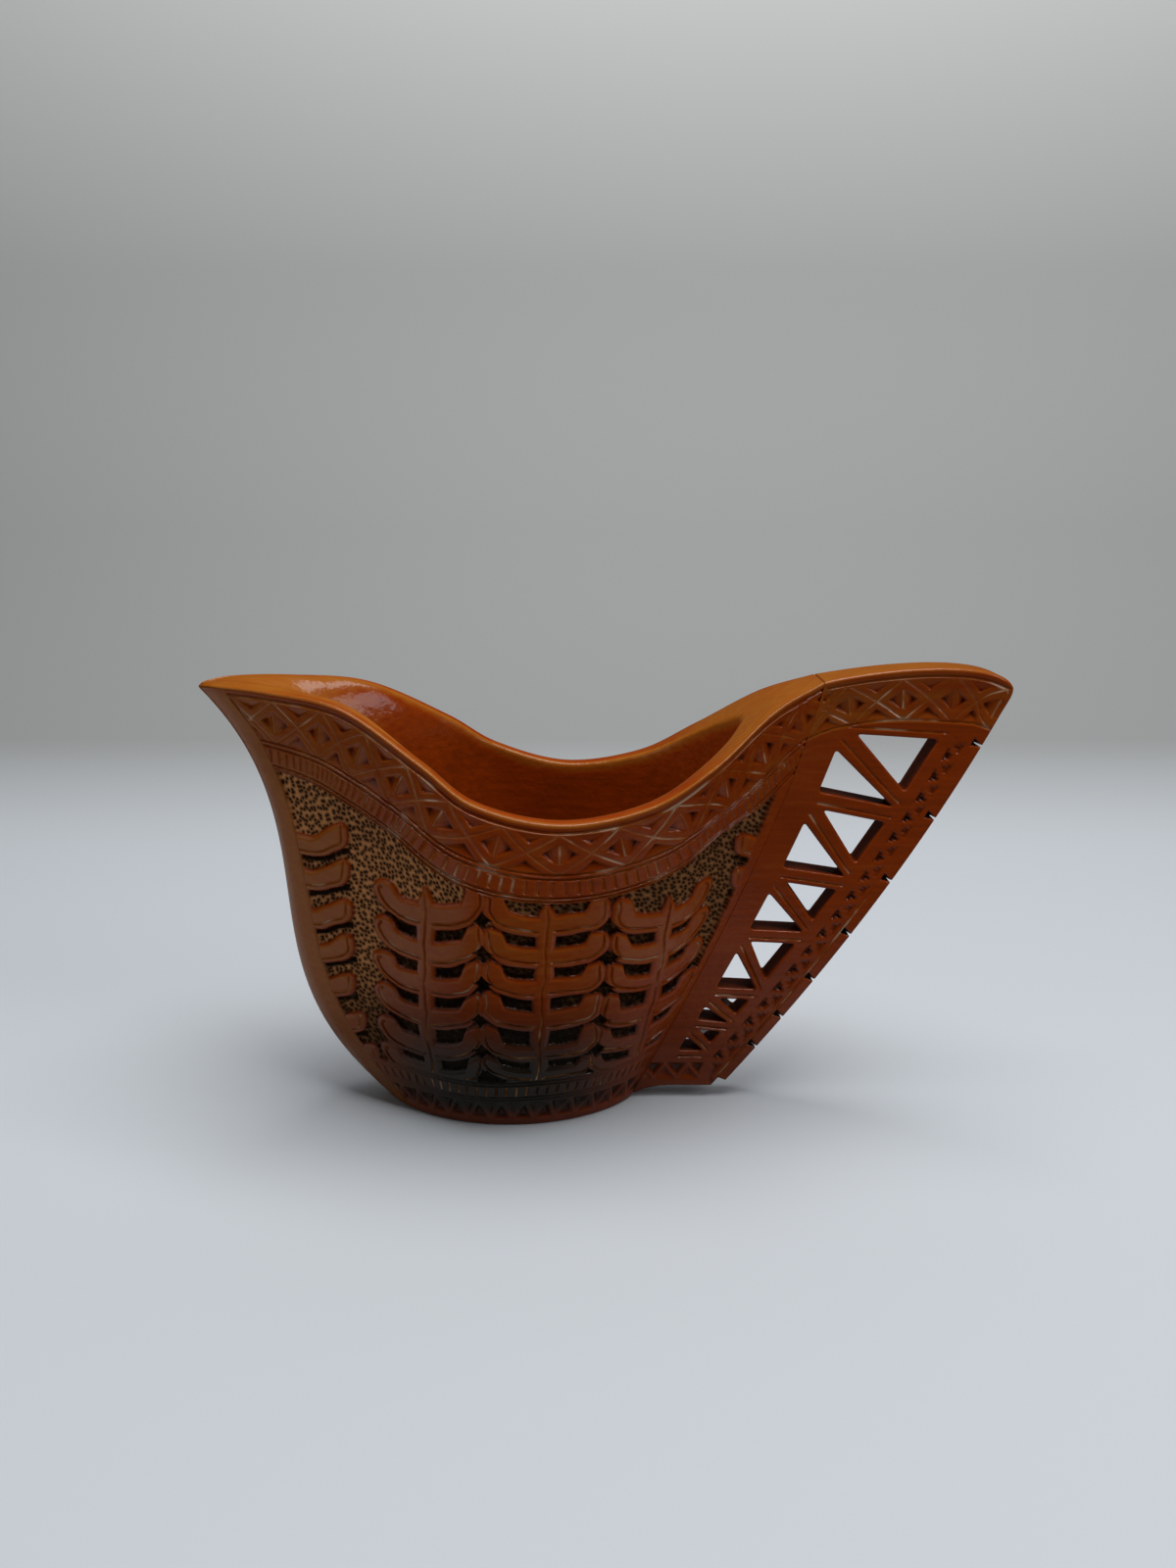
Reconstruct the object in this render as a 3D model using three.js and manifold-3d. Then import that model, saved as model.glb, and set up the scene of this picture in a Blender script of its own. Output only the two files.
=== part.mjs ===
// A carved wooden drinking cup with a beaked spout and an openwork board handle.
// Millimetres, +Z up. The origin is the centre of the flat foot, the spout points
// along -X and the handle along +X. The cup is mirrored about the plane Y = 0.
import * as THREE from 'three';
import { mergeVertices } from 'three/addons/utils/BufferGeometryUtils.js';
import Module from 'manifold-3d';

// Bowl, outside
const footLength = 70;
const footWidth = 38;
const footPoint = 1.3;
const spoutReach = 81.1;
const spoutHeight = 118;
const saddleHeight = 89.8;
const rimWidth = 72.4;
const sternReach = 82.5;
const sternHeight = 120;

// Bowl, inside
const rimWall = 4.5;
const spoutLip = 2;
const sternLedge = 20.5;
const floorThickness = 9;
const floorLength = 50;
const floorWidth = 27;
const gougeWidth = 6;

// Carved panels on the flanks of the bowl
const carvingDepth = 1.2;
const borderDrop = 21;
const footBorder = 16;
const keelStrip = 13.4;
const sternStrip = 3.6;
const stemWidth = 4.2;
const middleStemDrop = 0.6;
const lastStemDrop = 2.8;
const swagRows = 6;
const swagBar = 5.4;
const armReach = 16;
const lastArmReach = 13;
const groundStrip = 4.4;
const armCurl = 4.5;
const halfSwagCount = 7;
const halfSwagWidth = 6.4;
const halfSwagDroop = 6.5;
const frontSwagPitch = 10.8;
const backSwagPitch = 9.7;

// Handle board
const boardThickness = 8;
const handleReach = 132.4;
const handleHeight = 117;
const toeReach = 60.4;
const toeHeight = 5;
const boardBottom = 3.6;
const edgeBow = 4.2;
const edgeBowPlace = 0.46;
const railWidth = 11.4;
const railEndWidth = 8.6;
const railDepth = 14;
const railRise = 3.8;
const railRisePlace = 0.37;
const railBrow = 6;
const railBrowPlace = 0.96;
const railRootInset = 0.5;
const sternRailWidth = 14.4;
const sternFlare = 6;
const tipTaper = 4;

// Openwork of the handle
const outerStileTop = 12.4;
const outerStileFoot = 14;
const innerStileTop = 9.6;
const innerStileFoot = 6.2;
const sternRungDrop = 11.7;
const tipRungDrop = 10.4;
const bottomRungRise = 9.5;
const innerRungPlaces = [0, 0.217, 0.436, 0.622, 0.801, 0.901, 1];
const outerRungPlaces = [0, 0.247, 0.454, 0.623, 0.803, 0.909, 1];
const topBar = 5.2;
const bottomBar = 2.8;
const slantStart = 0.45;
const slantEnd = 0.85;
const notchCount = 7;
const notchDepth = 3;
const notchWidth = 1.4;
const firstNotchDrop = 14.8;
const lastNotchRise = 10.5;
const notchCrowding = 0.45;
const toeNotch = 2;

// Glued tongue and groove between the handle and the bowl
const tongueThickness = 4;
const tongueDepth = 5;
const tongueRise = 14;
const tongueDrop = 20;
const tongueRoot = 0.3;
const jointGap = 0.3;

// Fineness of the facets
const sideSteps = 28;
const hullLevels = 18;
const cavityLevels = 15;
const sunkSteps = 14;
const sunkLevels = 10;
const edgeSteps = 24;
const railSteps = 14;
const halvings = 40;
const overshoot = 12;

// Swell of the walls, as two control values low and high on the wall, each given at the spout,
// on the flank and at the stern.
const hullReach = { low: [0.98, 0.6, 0.42], high: [0.17, 0.6, 0.82] };
const hullBelly = { low: [0.85, 1.1, 0], high: [1.2, 1.35, 0.1] };
const cavityReach = { low: [0.62, 0.8, 0.3], high: [-0.12, 1, 0.72] };
const cavityBelly = { low: [0.8, 0.9, 0], high: [0.9, 1.25, 0.2] };
const cavityRise = { low: [0.05, 0, 0.1], high: [1.08, 0.5, 0.6] };

const lerp = THREE.MathUtils.lerp;

// The sheer of the cup, from the spout tip to the stern. Each station gives its place
// along the reach of its own end, the share of the half width, and the share of the
// rise from the saddle to that end.
const rimStations = [
  [-1, 0, 1], [-0.93, 0.213, 1.04], [-0.734, 0.387, 1.02], [-0.487, 0.588, 0.911],
  [-0.24, 0.867, 0.514], [-0.068, 1, 0.184], [0.182, 0.965, 0], [0.442, 0.905, 0.117],
  [0.636, 0.782, 0.413], [0.83, 0.445, 0.795],
];
const rimPoints = rimStations.map(([along, out, up]) => {
  const toSpout = along < 0;
  const end = toSpout ? spoutHeight : sternHeight;
  const x = along * (toSpout ? spoutReach : sternReach);
  return new THREE.Vector3(x, out * rimWidth / 2, lerp(saddleHeight, end, up));
});
rimPoints.push(new THREE.Vector3(sternReach, sternRailWidth / 2, sternHeight));
const rimLead = rimPoints[1].clone().setY(-rimPoints[1].y);
const rimCurve = new THREE.CatmullRomCurve3([rimLead, ...rimPoints], false, 'catmullrom');

// Each outline below starts one point before the spout, mirrored, so that its nose is round.
function fromNose(points, u) {
  return (1 + u * (points.length - 1)) / points.length;
}

function rimAt(u) {
  return rimCurve.getPoint(fromNose(rimPoints, u));
}

// The mouth of the hollow, seen from above: place along the spout or the stern side,
// and the share of the half width inside the rim wall.
const mouthStations = [
  [-1, 0], [-0.923, 0.158], [-0.727, 0.341], [-0.48, 0.568], [-0.234, 0.858], [-0.063, 0.994],
  [0.226, 0.934], [0.532, 0.845], [0.742, 0.688], [0.903, 0.426],
];
const mouthFront = spoutReach - spoutLip;
const mouthBack = sternReach - sternLedge;
const mouthHalf = rimWidth / 2 - rimWall;
const mouthPoints = mouthStations.map(([along, out]) =>
  new THREE.Vector2(along * (along < 0 ? mouthFront : mouthBack), out * mouthHalf));
mouthPoints.push(new THREE.Vector2(mouthBack, gougeWidth / 2));
const mouthLead = new THREE.Vector2(mouthPoints[1].x, -mouthPoints[1].y);
const mouthCurve = new THREE.SplineCurve([mouthLead, ...mouthPoints]);

function mouthAt(u) {
  return mouthCurve.getPoint(fromNose(mouthPoints, u));
}

// Blend of a value given at the spout, on the flank and at the stern, for a place from 0 to 1.
function blend([spout, flank, stern], place) {
  const left = 1 - place;
  return left * left * spout + 2 * left * place * flank + place * place * stern;
}

// Share of the way from the bottom of a wall to its top, at height t from 0 to 1: a cubic Bezier
// curve from 0 to 1 with the wall's two control values.
function swell({ low, high }, place, t) {
  const s = 1 - t;
  return 3 * s * s * t * blend(low, place) + 3 * s * t * t * blend(high, place) + t * t * t;
}

// Oval with a flat of the given half width at its stern end. A point of 1 gives an ellipse, and a
// higher one draws the ends in.
function oval(length, width, point, sternHalf, u) {
  const angle = u * (Math.PI - Math.asin((2 * sternHalf / width) ** (1 / point)));
  return new THREE.Vector2(-length / 2 * Math.cos(angle), width / 2 * Math.sin(angle) ** point);
}

// Outside of the bowl: u runs from the keel of the spout to the stern, t from the foot to the rim.
function hullPoint(u, t) {
  const foot = oval(footLength, footWidth, footPoint, boardThickness / 2, u);
  const rim = rimAt(u);
  const x = lerp(foot.x, rim.x, swell(hullReach, u, t));
  const y = lerp(foot.y, rim.y, swell(hullBelly, u, t));
  return new THREE.Vector3(x, y, rim.z * t);
}

// Floor of the carving: the outside of the bowl, moved in square to its surface.
function sunkPoint(u, t) {
  const nudge = 1e-3;
  const along = hullPoint(Math.min(u + nudge, 1), t).sub(hullPoint(Math.max(u - nudge, 0), t));
  const up = hullPoint(u, t + nudge).sub(hullPoint(u, t - nudge));
  return hullPoint(u, t).addScaledVector(along.cross(up).normalize(), carvingDepth);
}

// Height of the rim land at a place along the cup.
function sheer(x) {
  let low = 0;
  let high = 1;
  for (let step = 0; step < halvings; step += 1) {
    const middle = (low + high) / 2;
    if (rimAt(middle).x < x) low = middle;
    else high = middle;
  }
  return rimAt(low).z;
}

// Inside of the bowl: t runs from the floor to the mouth. The spout end rolls over into a
// shallow pouring channel, the flanks follow the belly and the stern end leaves a thick post.
function cavityPoint(u, t) {
  const floor = oval(floorLength, floorWidth, 1, gougeWidth / 2, u);
  const mouth = mouthAt(u);
  const place = u * u;
  const x = lerp(floor.x, mouth.x, swell(cavityReach, place, t));
  const y = lerp(floor.y, mouth.y, swell(cavityBelly, place, t));
  const z = lerp(floorThickness, sheer(mouth.x), swell(cavityRise, place, t));
  return new THREE.Vector3(x, y, z);
}

// One closed waterline: keel point, +Y flank to the stern, -Y flank back to the keel.
function waterline(pointAt, t, steps) {
  const flank = [];
  for (let i = 1; i <= steps; i += 1) flank.push(pointAt(i / steps, t));
  const mirrored = flank.map((p) => new THREE.Vector3(p.x, -p.y, p.z)).reverse();
  const keel = pointAt(0, t).setY(0);
  return [keel, ...flank, ...mirrored];
}

function waterlines(pointAt, levels, steps) {
  const rings = [];
  for (let level = 0; level <= levels; level += 1) rings.push(waterline(pointAt, level / levels, steps));
  return rings;
}

// On a waterline, the number of the point that mirrors a given one.
function aboutKeel(steps) {
  return (i) => (i === 0 ? 0 : 2 * steps + 1 - i);
}

// Closed body through like rings, from the lowest up, each ring running clockwise from above.
// The two ends are closed across, between points that mirror each other about Y = 0.
function loft(rings, mirrorOf) {
  const count = rings[0].length;
  const index = [];
  for (let level = 0; level + 1 < rings.length; level += 1) {
    for (let i = 0; i < count; i += 1) {
      const a = level * count + i;
      const b = level * count + (i + 1) % count;
      index.push(a, a + count, b, b, a + count, b + count);
    }
  }
  const top = (rings.length - 1) * count;
  for (let i = 0; i < count / 2 - 1; i += 1) {
    const quad = [i, i + 1, mirrorOf(i + 1), mirrorOf(i)];
    const [a, b, c, d] = quad;
    index.push(a, b, c, top + a, top + c, top + b);
    if (d !== a) index.push(a, c, d, top + a, top + d, top + c);
  }
  const geometry = new THREE.BufferGeometry().setFromPoints(rings.flat());
  geometry.setIndex(index);
  return geometry;
}

const wasm = await Module();
wasm.setup();

// A closed geometry as a solid that can be joined and cut.
function solid(geometry) {
  const bare = geometry.clone();
  bare.deleteAttribute('normal');
  bare.deleteAttribute('uv');
  const merged = mergeVertices(bare, 1e-4);
  return new wasm.Manifold(new wasm.Mesh({
    numProp: 3,
    vertProperties: new Float32Array(merged.attributes.position.array),
    triVerts: new Uint32Array(merged.index.array),
  }));
}

function geometryOf(manifold) {
  const mesh = manifold.getMesh();
  const geometry = new THREE.BufferGeometry();
  geometry.setAttribute('position', new THREE.BufferAttribute(new Float32Array(mesh.vertProperties), 3));
  geometry.setIndex(new THREE.BufferAttribute(new Uint32Array(mesh.triVerts), 1));
  geometry.computeVertexNormals();
  return geometry;
}

// A flat outline in the XZ plane, thickened evenly to both sides of Y = 0.
function plate(shape, thickness) {
  const geometry = new THREE.ExtrudeGeometry(shape, {
    depth: thickness, bevelEnabled: false, curveSegments: edgeSteps,
  });
  geometry.translate(0, 0, -thickness / 2);
  geometry.rotateX(Math.PI / 2);
  return geometry;
}

// Edge of the plain strip at the keel or at the stern, in side view, at a height. The strip's width is
// measured from its end of the hull, which is 0 at the keel and 1 at the stern.
function stripEdge(end, width, z) {
  const flank = (share) => {
    const u = lerp(end, 1 - end, share);
    return hullPoint(u, z / rimAt(u).z);
  };
  let low = 0;
  let high = 1;
  for (let step = 0; step < halvings; step += 1) {
    const middle = (low + high) / 2;
    if (flank(middle).distanceTo(flank(0)) < width) low = middle;
    else high = middle;
  }
  return new THREE.Vector2(flank(low).x, z);
}

// Panel of a flank in side view: between the strips at the keel and the stern, above the border of
// the foot, and below the border that follows the rim.
function panelPlate() {
  const front = [];
  const back = [];
  const underBorder = [];
  for (let i = 0; i <= edgeSteps; i += 1) {
    const share = i / edgeSteps;
    front.push(stripEdge(0, keelStrip, lerp(footBorder, spoutHeight - borderDrop / 2, share)));
    back.push(stripEdge(1, sternStrip, lerp(footBorder, sternHeight - borderDrop / 2, share)));
    const u = lerp(3 / sideSteps, 1 - 1 / sideSteps, share);
    const run = rimAt(u + 1 / sideSteps).sub(rimAt(u - 1 / sideSteps)).setY(0).normalize();
    const rim = rimAt(u);
    underBorder.push(new THREE.Vector2(rim.x + borderDrop * run.z, rim.z - borderDrop * run.x));
  }
  const between = plate(new THREE.Shape([...front, ...back.reverse()]), rimWidth + overshoot);
  const spoutFoot = new THREE.Vector2(-spoutReach, 0);
  const sternFoot = new THREE.Vector2(sternReach, 0);
  const under = plate(new THREE.Shape([spoutFoot, ...underBorder, sternFoot]), rimWidth + overshoot);
  return solid(between).intersect(solid(under));
}

// The three stems of a panel: shares of the half foot length and of the reach of the rim that give
// their line, and how much lower their swags lie.
const stems = [
  { foot: -0.57, rim: -0.25, reach: spoutReach, arms: [armReach, armReach], drop: 0 },
  { foot: 0.2, rim: 0.18, reach: sternReach, arms: [armReach, armReach], drop: middleStemDrop },
  { foot: 0.93, rim: 0.61, reach: sternReach, arms: [armReach, lastArmReach], drop: lastStemDrop },
];
const rowPitch = (saddleHeight - borderDrop - footBorder) / (swagRows - 1 / 2);

function stemAt(stem, z) {
  return lerp(stem.foot * footLength / 2, stem.rim * stem.reach, z / sternHeight);
}

// Half outline of a swag, from the stem out along its upper edge and back along its lower one: shares
// of the arm's reach and of the height of a row. Each arm widens to meet the swag above.
const barShare = swagBar / rowPitch;
const armOutline = [
  [0.55, barShare], [0.62, 1.02], [0.84, 1.02], [1, 0.6], [0.86, 0.02], [0.5, 0],
];

function swagShape(stem, row) {
  const foot = footBorder - swagBar / 2 + row * rowPitch - stem.drop;
  const middle = stemAt(stem, foot);
  const arm = (length) => armOutline.map(([out, up]) =>
    new THREE.Vector2(middle + out * length, foot + up * rowPitch + armCurl * out * out));
  return new THREE.Shape([...arm(stem.arms[1]), ...arm(-stem.arms[0]).reverse()]);
}

function stemShape(stem) {
  const bottom = footBorder / 2;
  const top = footBorder + (swagRows - 1 / 4) * rowPitch - stem.drop;
  return new THREE.Shape([[-1, bottom], [-1, top], [1, top], [1, bottom]].map(([side, z]) =>
    new THREE.Vector2(stemAt(stem, z) + side * stemWidth / 2, z)));
}

// Half swag that grows from the strip at the keel or the stern and slants up to its tip, which stays
// clear of the arms of the nearest stem.
function halfSwagShape(end, stripWidth, pitch, row) {
  const tipTop = footBorder + (row + 0.45) * pitch;
  const outward = end === 0 ? -1 : 1;
  const stem = end === 0 ? stems[0] : stems[stems.length - 1];
  const tipX = stemAt(stem, tipTop) + outward * (stem.arms[end] + groundStrip);
  const shoulderX = tipX + outward * halfSwagWidth / 4;
  const rootX = stripEdge(end, stripWidth / 2, tipTop - halfSwagDroop).x;
  if ((rootX - shoulderX) * outward < halfSwagWidth / 4) return null;
  return new THREE.Shape([
    new THREE.Vector2(rootX, tipTop - halfSwagDroop),
    new THREE.Vector2(shoulderX, tipTop),
    new THREE.Vector2(tipX, tipTop - halfSwagWidth / 2),
    new THREE.Vector2(shoulderX, tipTop - halfSwagWidth),
    new THREE.Vector2(rootX, tipTop - halfSwagDroop - halfSwagWidth),
  ]);
}

// The sunk ground of both flanks: the panel without its stems and swags, down to the carving's floor.
function sunkGround(floor) {
  const raised = stems.map(stemShape);
  for (const stem of stems) {
    for (let row = 0; row < swagRows; row += 1) raised.push(swagShape(stem, row));
  }
  for (let row = 0; row < halfSwagCount; row += 1) {
    raised.push(halfSwagShape(0, keelStrip, frontSwagPitch, row));
    raised.push(halfSwagShape(1, sternStrip, backSwagPitch, row));
  }
  let ground = panelPlate();
  for (const shape of raised.filter(Boolean)) ground = ground.subtract(solid(plate(shape, 2 * rimWidth)));
  return ground.subtract(floor);
}

// The stern line of the bowl in the XZ plane, where the handle is seated.
function sternAt(height) {
  return hullPoint(1, height / sternHeight).x;
}

// Points up the stern line between two heights, moved along X.
function sternLine(from, to, shift) {
  const points = [];
  for (let i = 0; i <= edgeSteps; i += 1) {
    const z = lerp(from, to, i / edgeSteps);
    points.push(new THREE.Vector2(sternAt(z) + shift, z));
  }
  return points;
}

// Strip along the stern for the tongue, or for its groove with the clearance all round.
function tongueStrip(clearance, overlap) {
  const from = tongueRise - clearance;
  const to = sternHeight - tongueDrop + clearance;
  const inner = sternLine(from, to, -tongueDepth - clearance);
  const outer = sternLine(from, to, overlap).reverse();
  return plate(new THREE.Shape([...inner, ...outer]), tongueThickness + 2 * clearance);
}

// Outer edge of the handle: a long bowed line from the tip down to the toe.
const tip = new THREE.Vector2(handleReach, handleHeight);
const toe = new THREE.Vector2(toeReach, toeHeight);
const edgeAcross = new THREE.Vector2(tip.y - toe.y, toe.x - tip.x).normalize();
const edgeControl = tip.clone().lerp(toe, edgeBowPlace).addScaledVector(edgeAcross, 2 * edgeBow);
const outerEdge = new THREE.QuadraticBezierCurve(tip, edgeControl, toe);

// Top of the rail: a low crown from the stern of the bowl to the tip of the handle.
const railStart = new THREE.Vector2(sternReach + jointGap, sternHeight);
const railSpan = handleReach - sternReach;
const railTop = new THREE.CubicBezierCurve(
  railStart,
  new THREE.Vector2(sternReach + railSpan * railRisePlace, sternHeight + railRise),
  new THREE.Vector2(sternReach + railSpan * railBrowPlace, sternHeight + railBrow),
  tip,
);

// Line through two points, moved sideways to its left by a distance.
function line(from, to, shift) {
  const run = to.clone().sub(from).normalize();
  const left = new THREE.Vector2(-run.y, run.x).multiplyScalar(shift);
  return { point: from.clone().add(left), run };
}

function crossing(first, second) {
  const gap = second.point.clone().sub(first.point);
  const t = gap.cross(second.run) / first.run.cross(second.run);
  return first.point.clone().addScaledVector(first.run, t);
}

// Place along the outer edge at a height, by halving.
function outerAt(height) {
  let low = 0;
  let high = 1;
  for (let step = 0; step < halvings; step += 1) {
    const middle = (low + high) / 2;
    if (outerEdge.getPoint(middle).y > height) low = middle;
    else high = middle;
  }
  return outerEdge.getPoint(low).x;
}

// Rungs of the openwork, from the top: heights at the inner and at the outer stile, and the bar's width.
const sternRung = sternHeight - sternRungDrop;
const tipRung = handleHeight - tipRungDrop;
const lowestRung = boardBottom + bottomRungRise;
const rungs = innerRungPlaces.map((place, i) => ({
  inner: lerp(sternRung, lowestRung, place),
  outer: lerp(tipRung, lowestRung, outerRungPlaces[i]),
  bar: lerp(topBar, bottomBar, place),
}));

// Edges of the two stiles on the side of the openwork.
function innerStileAt(height) {
  const up = (height - lowestRung) / (sternRung - lowestRung);
  return new THREE.Vector2(sternAt(height) + lerp(innerStileFoot, innerStileTop, up), height);
}

function outerStileAt(height) {
  const up = (height - lowestRung) / (tipRung - lowestRung);
  return new THREE.Vector2(outerAt(height) - lerp(outerStileFoot, outerStileTop, up), height);
}

// Each bay between two rungs is crossed by one slanting bar, from under its upper rung at the inner
// stile to above its lower rung at the outer stile, which leaves a hanging and a standing opening.
function bayOpenings(upper, lower) {
  const slantBar = (upper.bar + lower.bar) / 2;
  const upperInner = innerStileAt(upper.inner);
  const lowerInner = innerStileAt(lower.inner);
  const upperOuter = outerStileAt(upper.outer);
  const lowerOuter = outerStileAt(lower.outer);
  const slantHead = innerStileAt(upper.inner - slantStart * upper.bar);
  const slantNeck = innerStileAt(upper.inner - slantEnd * upper.bar);
  const slantFoot = outerStileAt(lower.outer + slantEnd * lower.bar);
  const ceiling = line(upperInner, upperOuter, -upper.bar / 2);
  const sill = line(lowerInner, lowerOuter, lower.bar / 2);
  const innerSide = line(lowerInner, upperInner, 0);
  const outerSide = line(lowerOuter, upperOuter, 0);
  const slantAbove = line(slantHead, slantFoot, slantBar / 2);
  const slantBelow = line(slantNeck, slantFoot, -slantBar / 2);
  const hanging = [[ceiling, slantAbove], [ceiling, outerSide], [outerSide, slantAbove]];
  const standing = [[innerSide, slantBelow], [innerSide, sill], [sill, slantBelow]];
  return [hanging, standing].map((sides) => sides.map(([first, second]) => crossing(first, second)));
}

// Board of the handle with its openwork and the row of V notches in its outer edge.
function boardShape() {
  const intoRail = railDepth / 2;
  const seat = sternLine(boardBottom, sternHeight - intoRail, jointGap);
  const edge = outerEdge.getPoints(edgeSteps).reverse();
  const shoulder = edge.filter((p) => p.y < handleHeight - intoRail);
  const heel = new THREE.Vector2(toeReach - 2 * toeNotch, boardBottom);
  const nick = new THREE.Vector2(toeReach - toeNotch, toeHeight + toeNotch / 2);
  const shape = new THREE.Shape([...seat.reverse(), heel, nick, ...shoulder]);
  for (let bay = 0; bay + 1 < rungs.length; bay += 1) {
    for (const corners of bayOpenings(rungs[bay], rungs[bay + 1])) {
      shape.holes.push(new THREE.Path(corners));
    }
  }
  return shape;
}

// V notches, set square to the outer edge and closer together towards the toe.
function notchPlates() {
  const notches = [];
  const from = handleHeight - firstNotchDrop;
  const to = toeHeight + lastNotchRise;
  for (let i = 0; i < notchCount; i += 1) {
    const share = i / (notchCount - 1);
    const height = lerp(from, to, share * (1 + notchCrowding * (1 - share)));
    const mouth = new THREE.Vector2(outerAt(height), height);
    const across = new THREE.Vector2(outerAt(height + 1) - mouth.x, 1).normalize();
    const inward = new THREE.Vector2(-across.y, across.x);
    const root = mouth.clone().addScaledVector(inward, notchDepth);
    const lip = mouth.clone().addScaledVector(inward, -notchDepth);
    notches.push(plate(new THREE.Shape([
      root,
      lip.clone().addScaledVector(across, -notchWidth),
      lip.clone().addScaledVector(across, notchWidth),
    ]), 2 * boardThickness));
  }
  return notches;
}

// Top rail of the handle: a wedge section, widest at the rounded top, that carries the
// rim of the bowl on to the tip.
function railGeometry() {
  const rings = [];
  const sternLean = sternAt(sternHeight) - sternAt(sternHeight - railDepth);
  const edgeLean = outerAt(handleHeight) - outerAt(handleHeight - railDepth);
  for (let i = 0; i <= railSteps; i += 1) {
    const s = i / railSteps;
    const crest = railTop.getPoint(s);
    const lean = lerp(sternLean, edgeLean, s);
    const flare = (sternRailWidth - railWidth) * (1 - s) ** sternFlare;
    const taper = (railEndWidth - railWidth) * s ** tipTaper;
    const width = railWidth + flare + taper;
    const root = boardThickness - 2 * railRootInset;
    const down = new THREE.Vector2(crest.x - lean, crest.y - railDepth);
    rings.push([
      new THREE.Vector3(down.x, -root / 2, down.y),
      new THREE.Vector3(crest.x, -width / 2, crest.y),
      new THREE.Vector3(crest.x, width / 2, crest.y),
      new THREE.Vector3(down.x, root / 2, down.y),
    ]);
  }
  return loft(rings, (i) => 3 - i);
}

const wood = new THREE.MeshStandardMaterial({ color: 0x8a4a1c, roughness: 0.35, metalness: 0 });
const handleWood = new THREE.MeshStandardMaterial({ color: 0x80451c, roughness: 0.38, metalness: 0 });

function bowlMesh() {
  const hullRings = waterlines(hullPoint, hullLevels, sideSteps);
  const sunkRings = waterlines(sunkPoint, sunkLevels, sunkSteps);
  const cavityRings = waterlines(cavityPoint, cavityLevels, sideSteps);
  cavityRings.push(cavityRings[cavityLevels].map((p) => p.clone().setZ(p.z + overshoot)));
  const hollowed = solid(loft(hullRings, aboutKeel(sideSteps)))
    .subtract(solid(loft(cavityRings, aboutKeel(sideSteps))));
  const grooved = hollowed.subtract(solid(tongueStrip(jointGap, overshoot)));
  const carved = grooved.subtract(sunkGround(solid(loft(sunkRings, aboutKeel(sunkSteps)))));
  const mesh = new THREE.Mesh(geometryOf(carved), wood);
  mesh.name = 'bowl';
  return mesh;
}

function handleMesh() {
  let body = solid(plate(boardShape(), boardThickness));
  for (const notch of notchPlates()) body = body.subtract(solid(notch));
  body = body.add(solid(railGeometry())).add(solid(tongueStrip(0, jointGap + tongueRoot)));
  const mesh = new THREE.Mesh(geometryOf(body), handleWood);
  mesh.name = 'handle';
  return mesh;
}

const cup = new THREE.Group();
cup.add(bowlMesh(), handleMesh());
export default cup;
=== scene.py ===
import bpy
import numpy as np
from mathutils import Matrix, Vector


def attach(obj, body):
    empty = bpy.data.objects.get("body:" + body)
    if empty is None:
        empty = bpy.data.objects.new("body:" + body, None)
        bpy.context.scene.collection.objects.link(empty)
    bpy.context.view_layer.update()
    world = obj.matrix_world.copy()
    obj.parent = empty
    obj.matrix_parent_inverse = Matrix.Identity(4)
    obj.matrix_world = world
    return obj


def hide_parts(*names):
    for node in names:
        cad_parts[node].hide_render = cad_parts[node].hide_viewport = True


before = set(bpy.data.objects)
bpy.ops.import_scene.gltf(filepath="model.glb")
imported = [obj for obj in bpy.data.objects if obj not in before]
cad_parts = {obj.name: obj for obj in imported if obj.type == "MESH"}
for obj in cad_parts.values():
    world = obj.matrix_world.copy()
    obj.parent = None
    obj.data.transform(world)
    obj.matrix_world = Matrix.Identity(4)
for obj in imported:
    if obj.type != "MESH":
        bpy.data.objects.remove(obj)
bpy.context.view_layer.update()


# Bowl
# The bowl is hollowed from one block of hardwood: a boat-shaped hull with a beaked spout, a dipped
# rim and a flat oval foot. Its inside is scraped smooth, and its outside is chip carved with a knife.
# All sizes are in millimetres until a mesh is made.
foot_length = 70
foot_width = 38
foot_point = 1.3
spout_reach = 81.1
spout_height = 118
saddle_height = 89.8
rim_width = 72.4
stern_reach = 82.5
stern_height = 120
stern_width = 14.4
rim_wall = 4.5
spout_lip = 2
stern_ledge = 20.5
floor_thickness = 9
floor_length = 50
floor_width = 27
gouge_width = 6
board_thickness = 8
hull_reach = ([0.98, 0.6, 0.42], [0.17, 0.6, 0.82])
hull_belly = ([0.85, 1.1, 0], [1.2, 1.35, 0.1])
cavity_reach = ([0.62, 0.8, 0.3], [-0.12, 1, 0.72])
cavity_belly = ([0.8, 0.9, 0], [0.9, 1.25, 0.2])
cavity_rise = ([0.05, 0, 0.1], [1.08, 0.5, 0.6])
mouth_width = rim_width - 2 * rim_wall

# Stations of the rim and of the mouth, from the spout to the stern: shares of the reach and of the
# half width, and for the rim the share of the climb from the saddle.
rim_stations = np.array([
    [-1, 0, 1], [-0.93, 0.213, 1.04], [-0.734, 0.387, 1.02], [-0.487, 0.588, 0.911],
    [-0.24, 0.867, 0.514], [-0.068, 1, 0.184], [0.182, 0.965, 0], [0.442, 0.905, 0.117],
    [0.636, 0.782, 0.413], [0.83, 0.445, 0.795], [1, stern_width / rim_width, 1],
])
mouth_stations = np.array([
    [-1, 0], [-0.923, 0.158], [-0.727, 0.341], [-0.48, 0.568], [-0.234, 0.858], [-0.063, 0.994],
    [0.226, 0.934], [0.532, 0.845], [0.742, 0.688], [0.903, 0.426], [1, gouge_width / mouth_width],
])


def mix(a, b, share):
    return a + (b - a) * share


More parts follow.
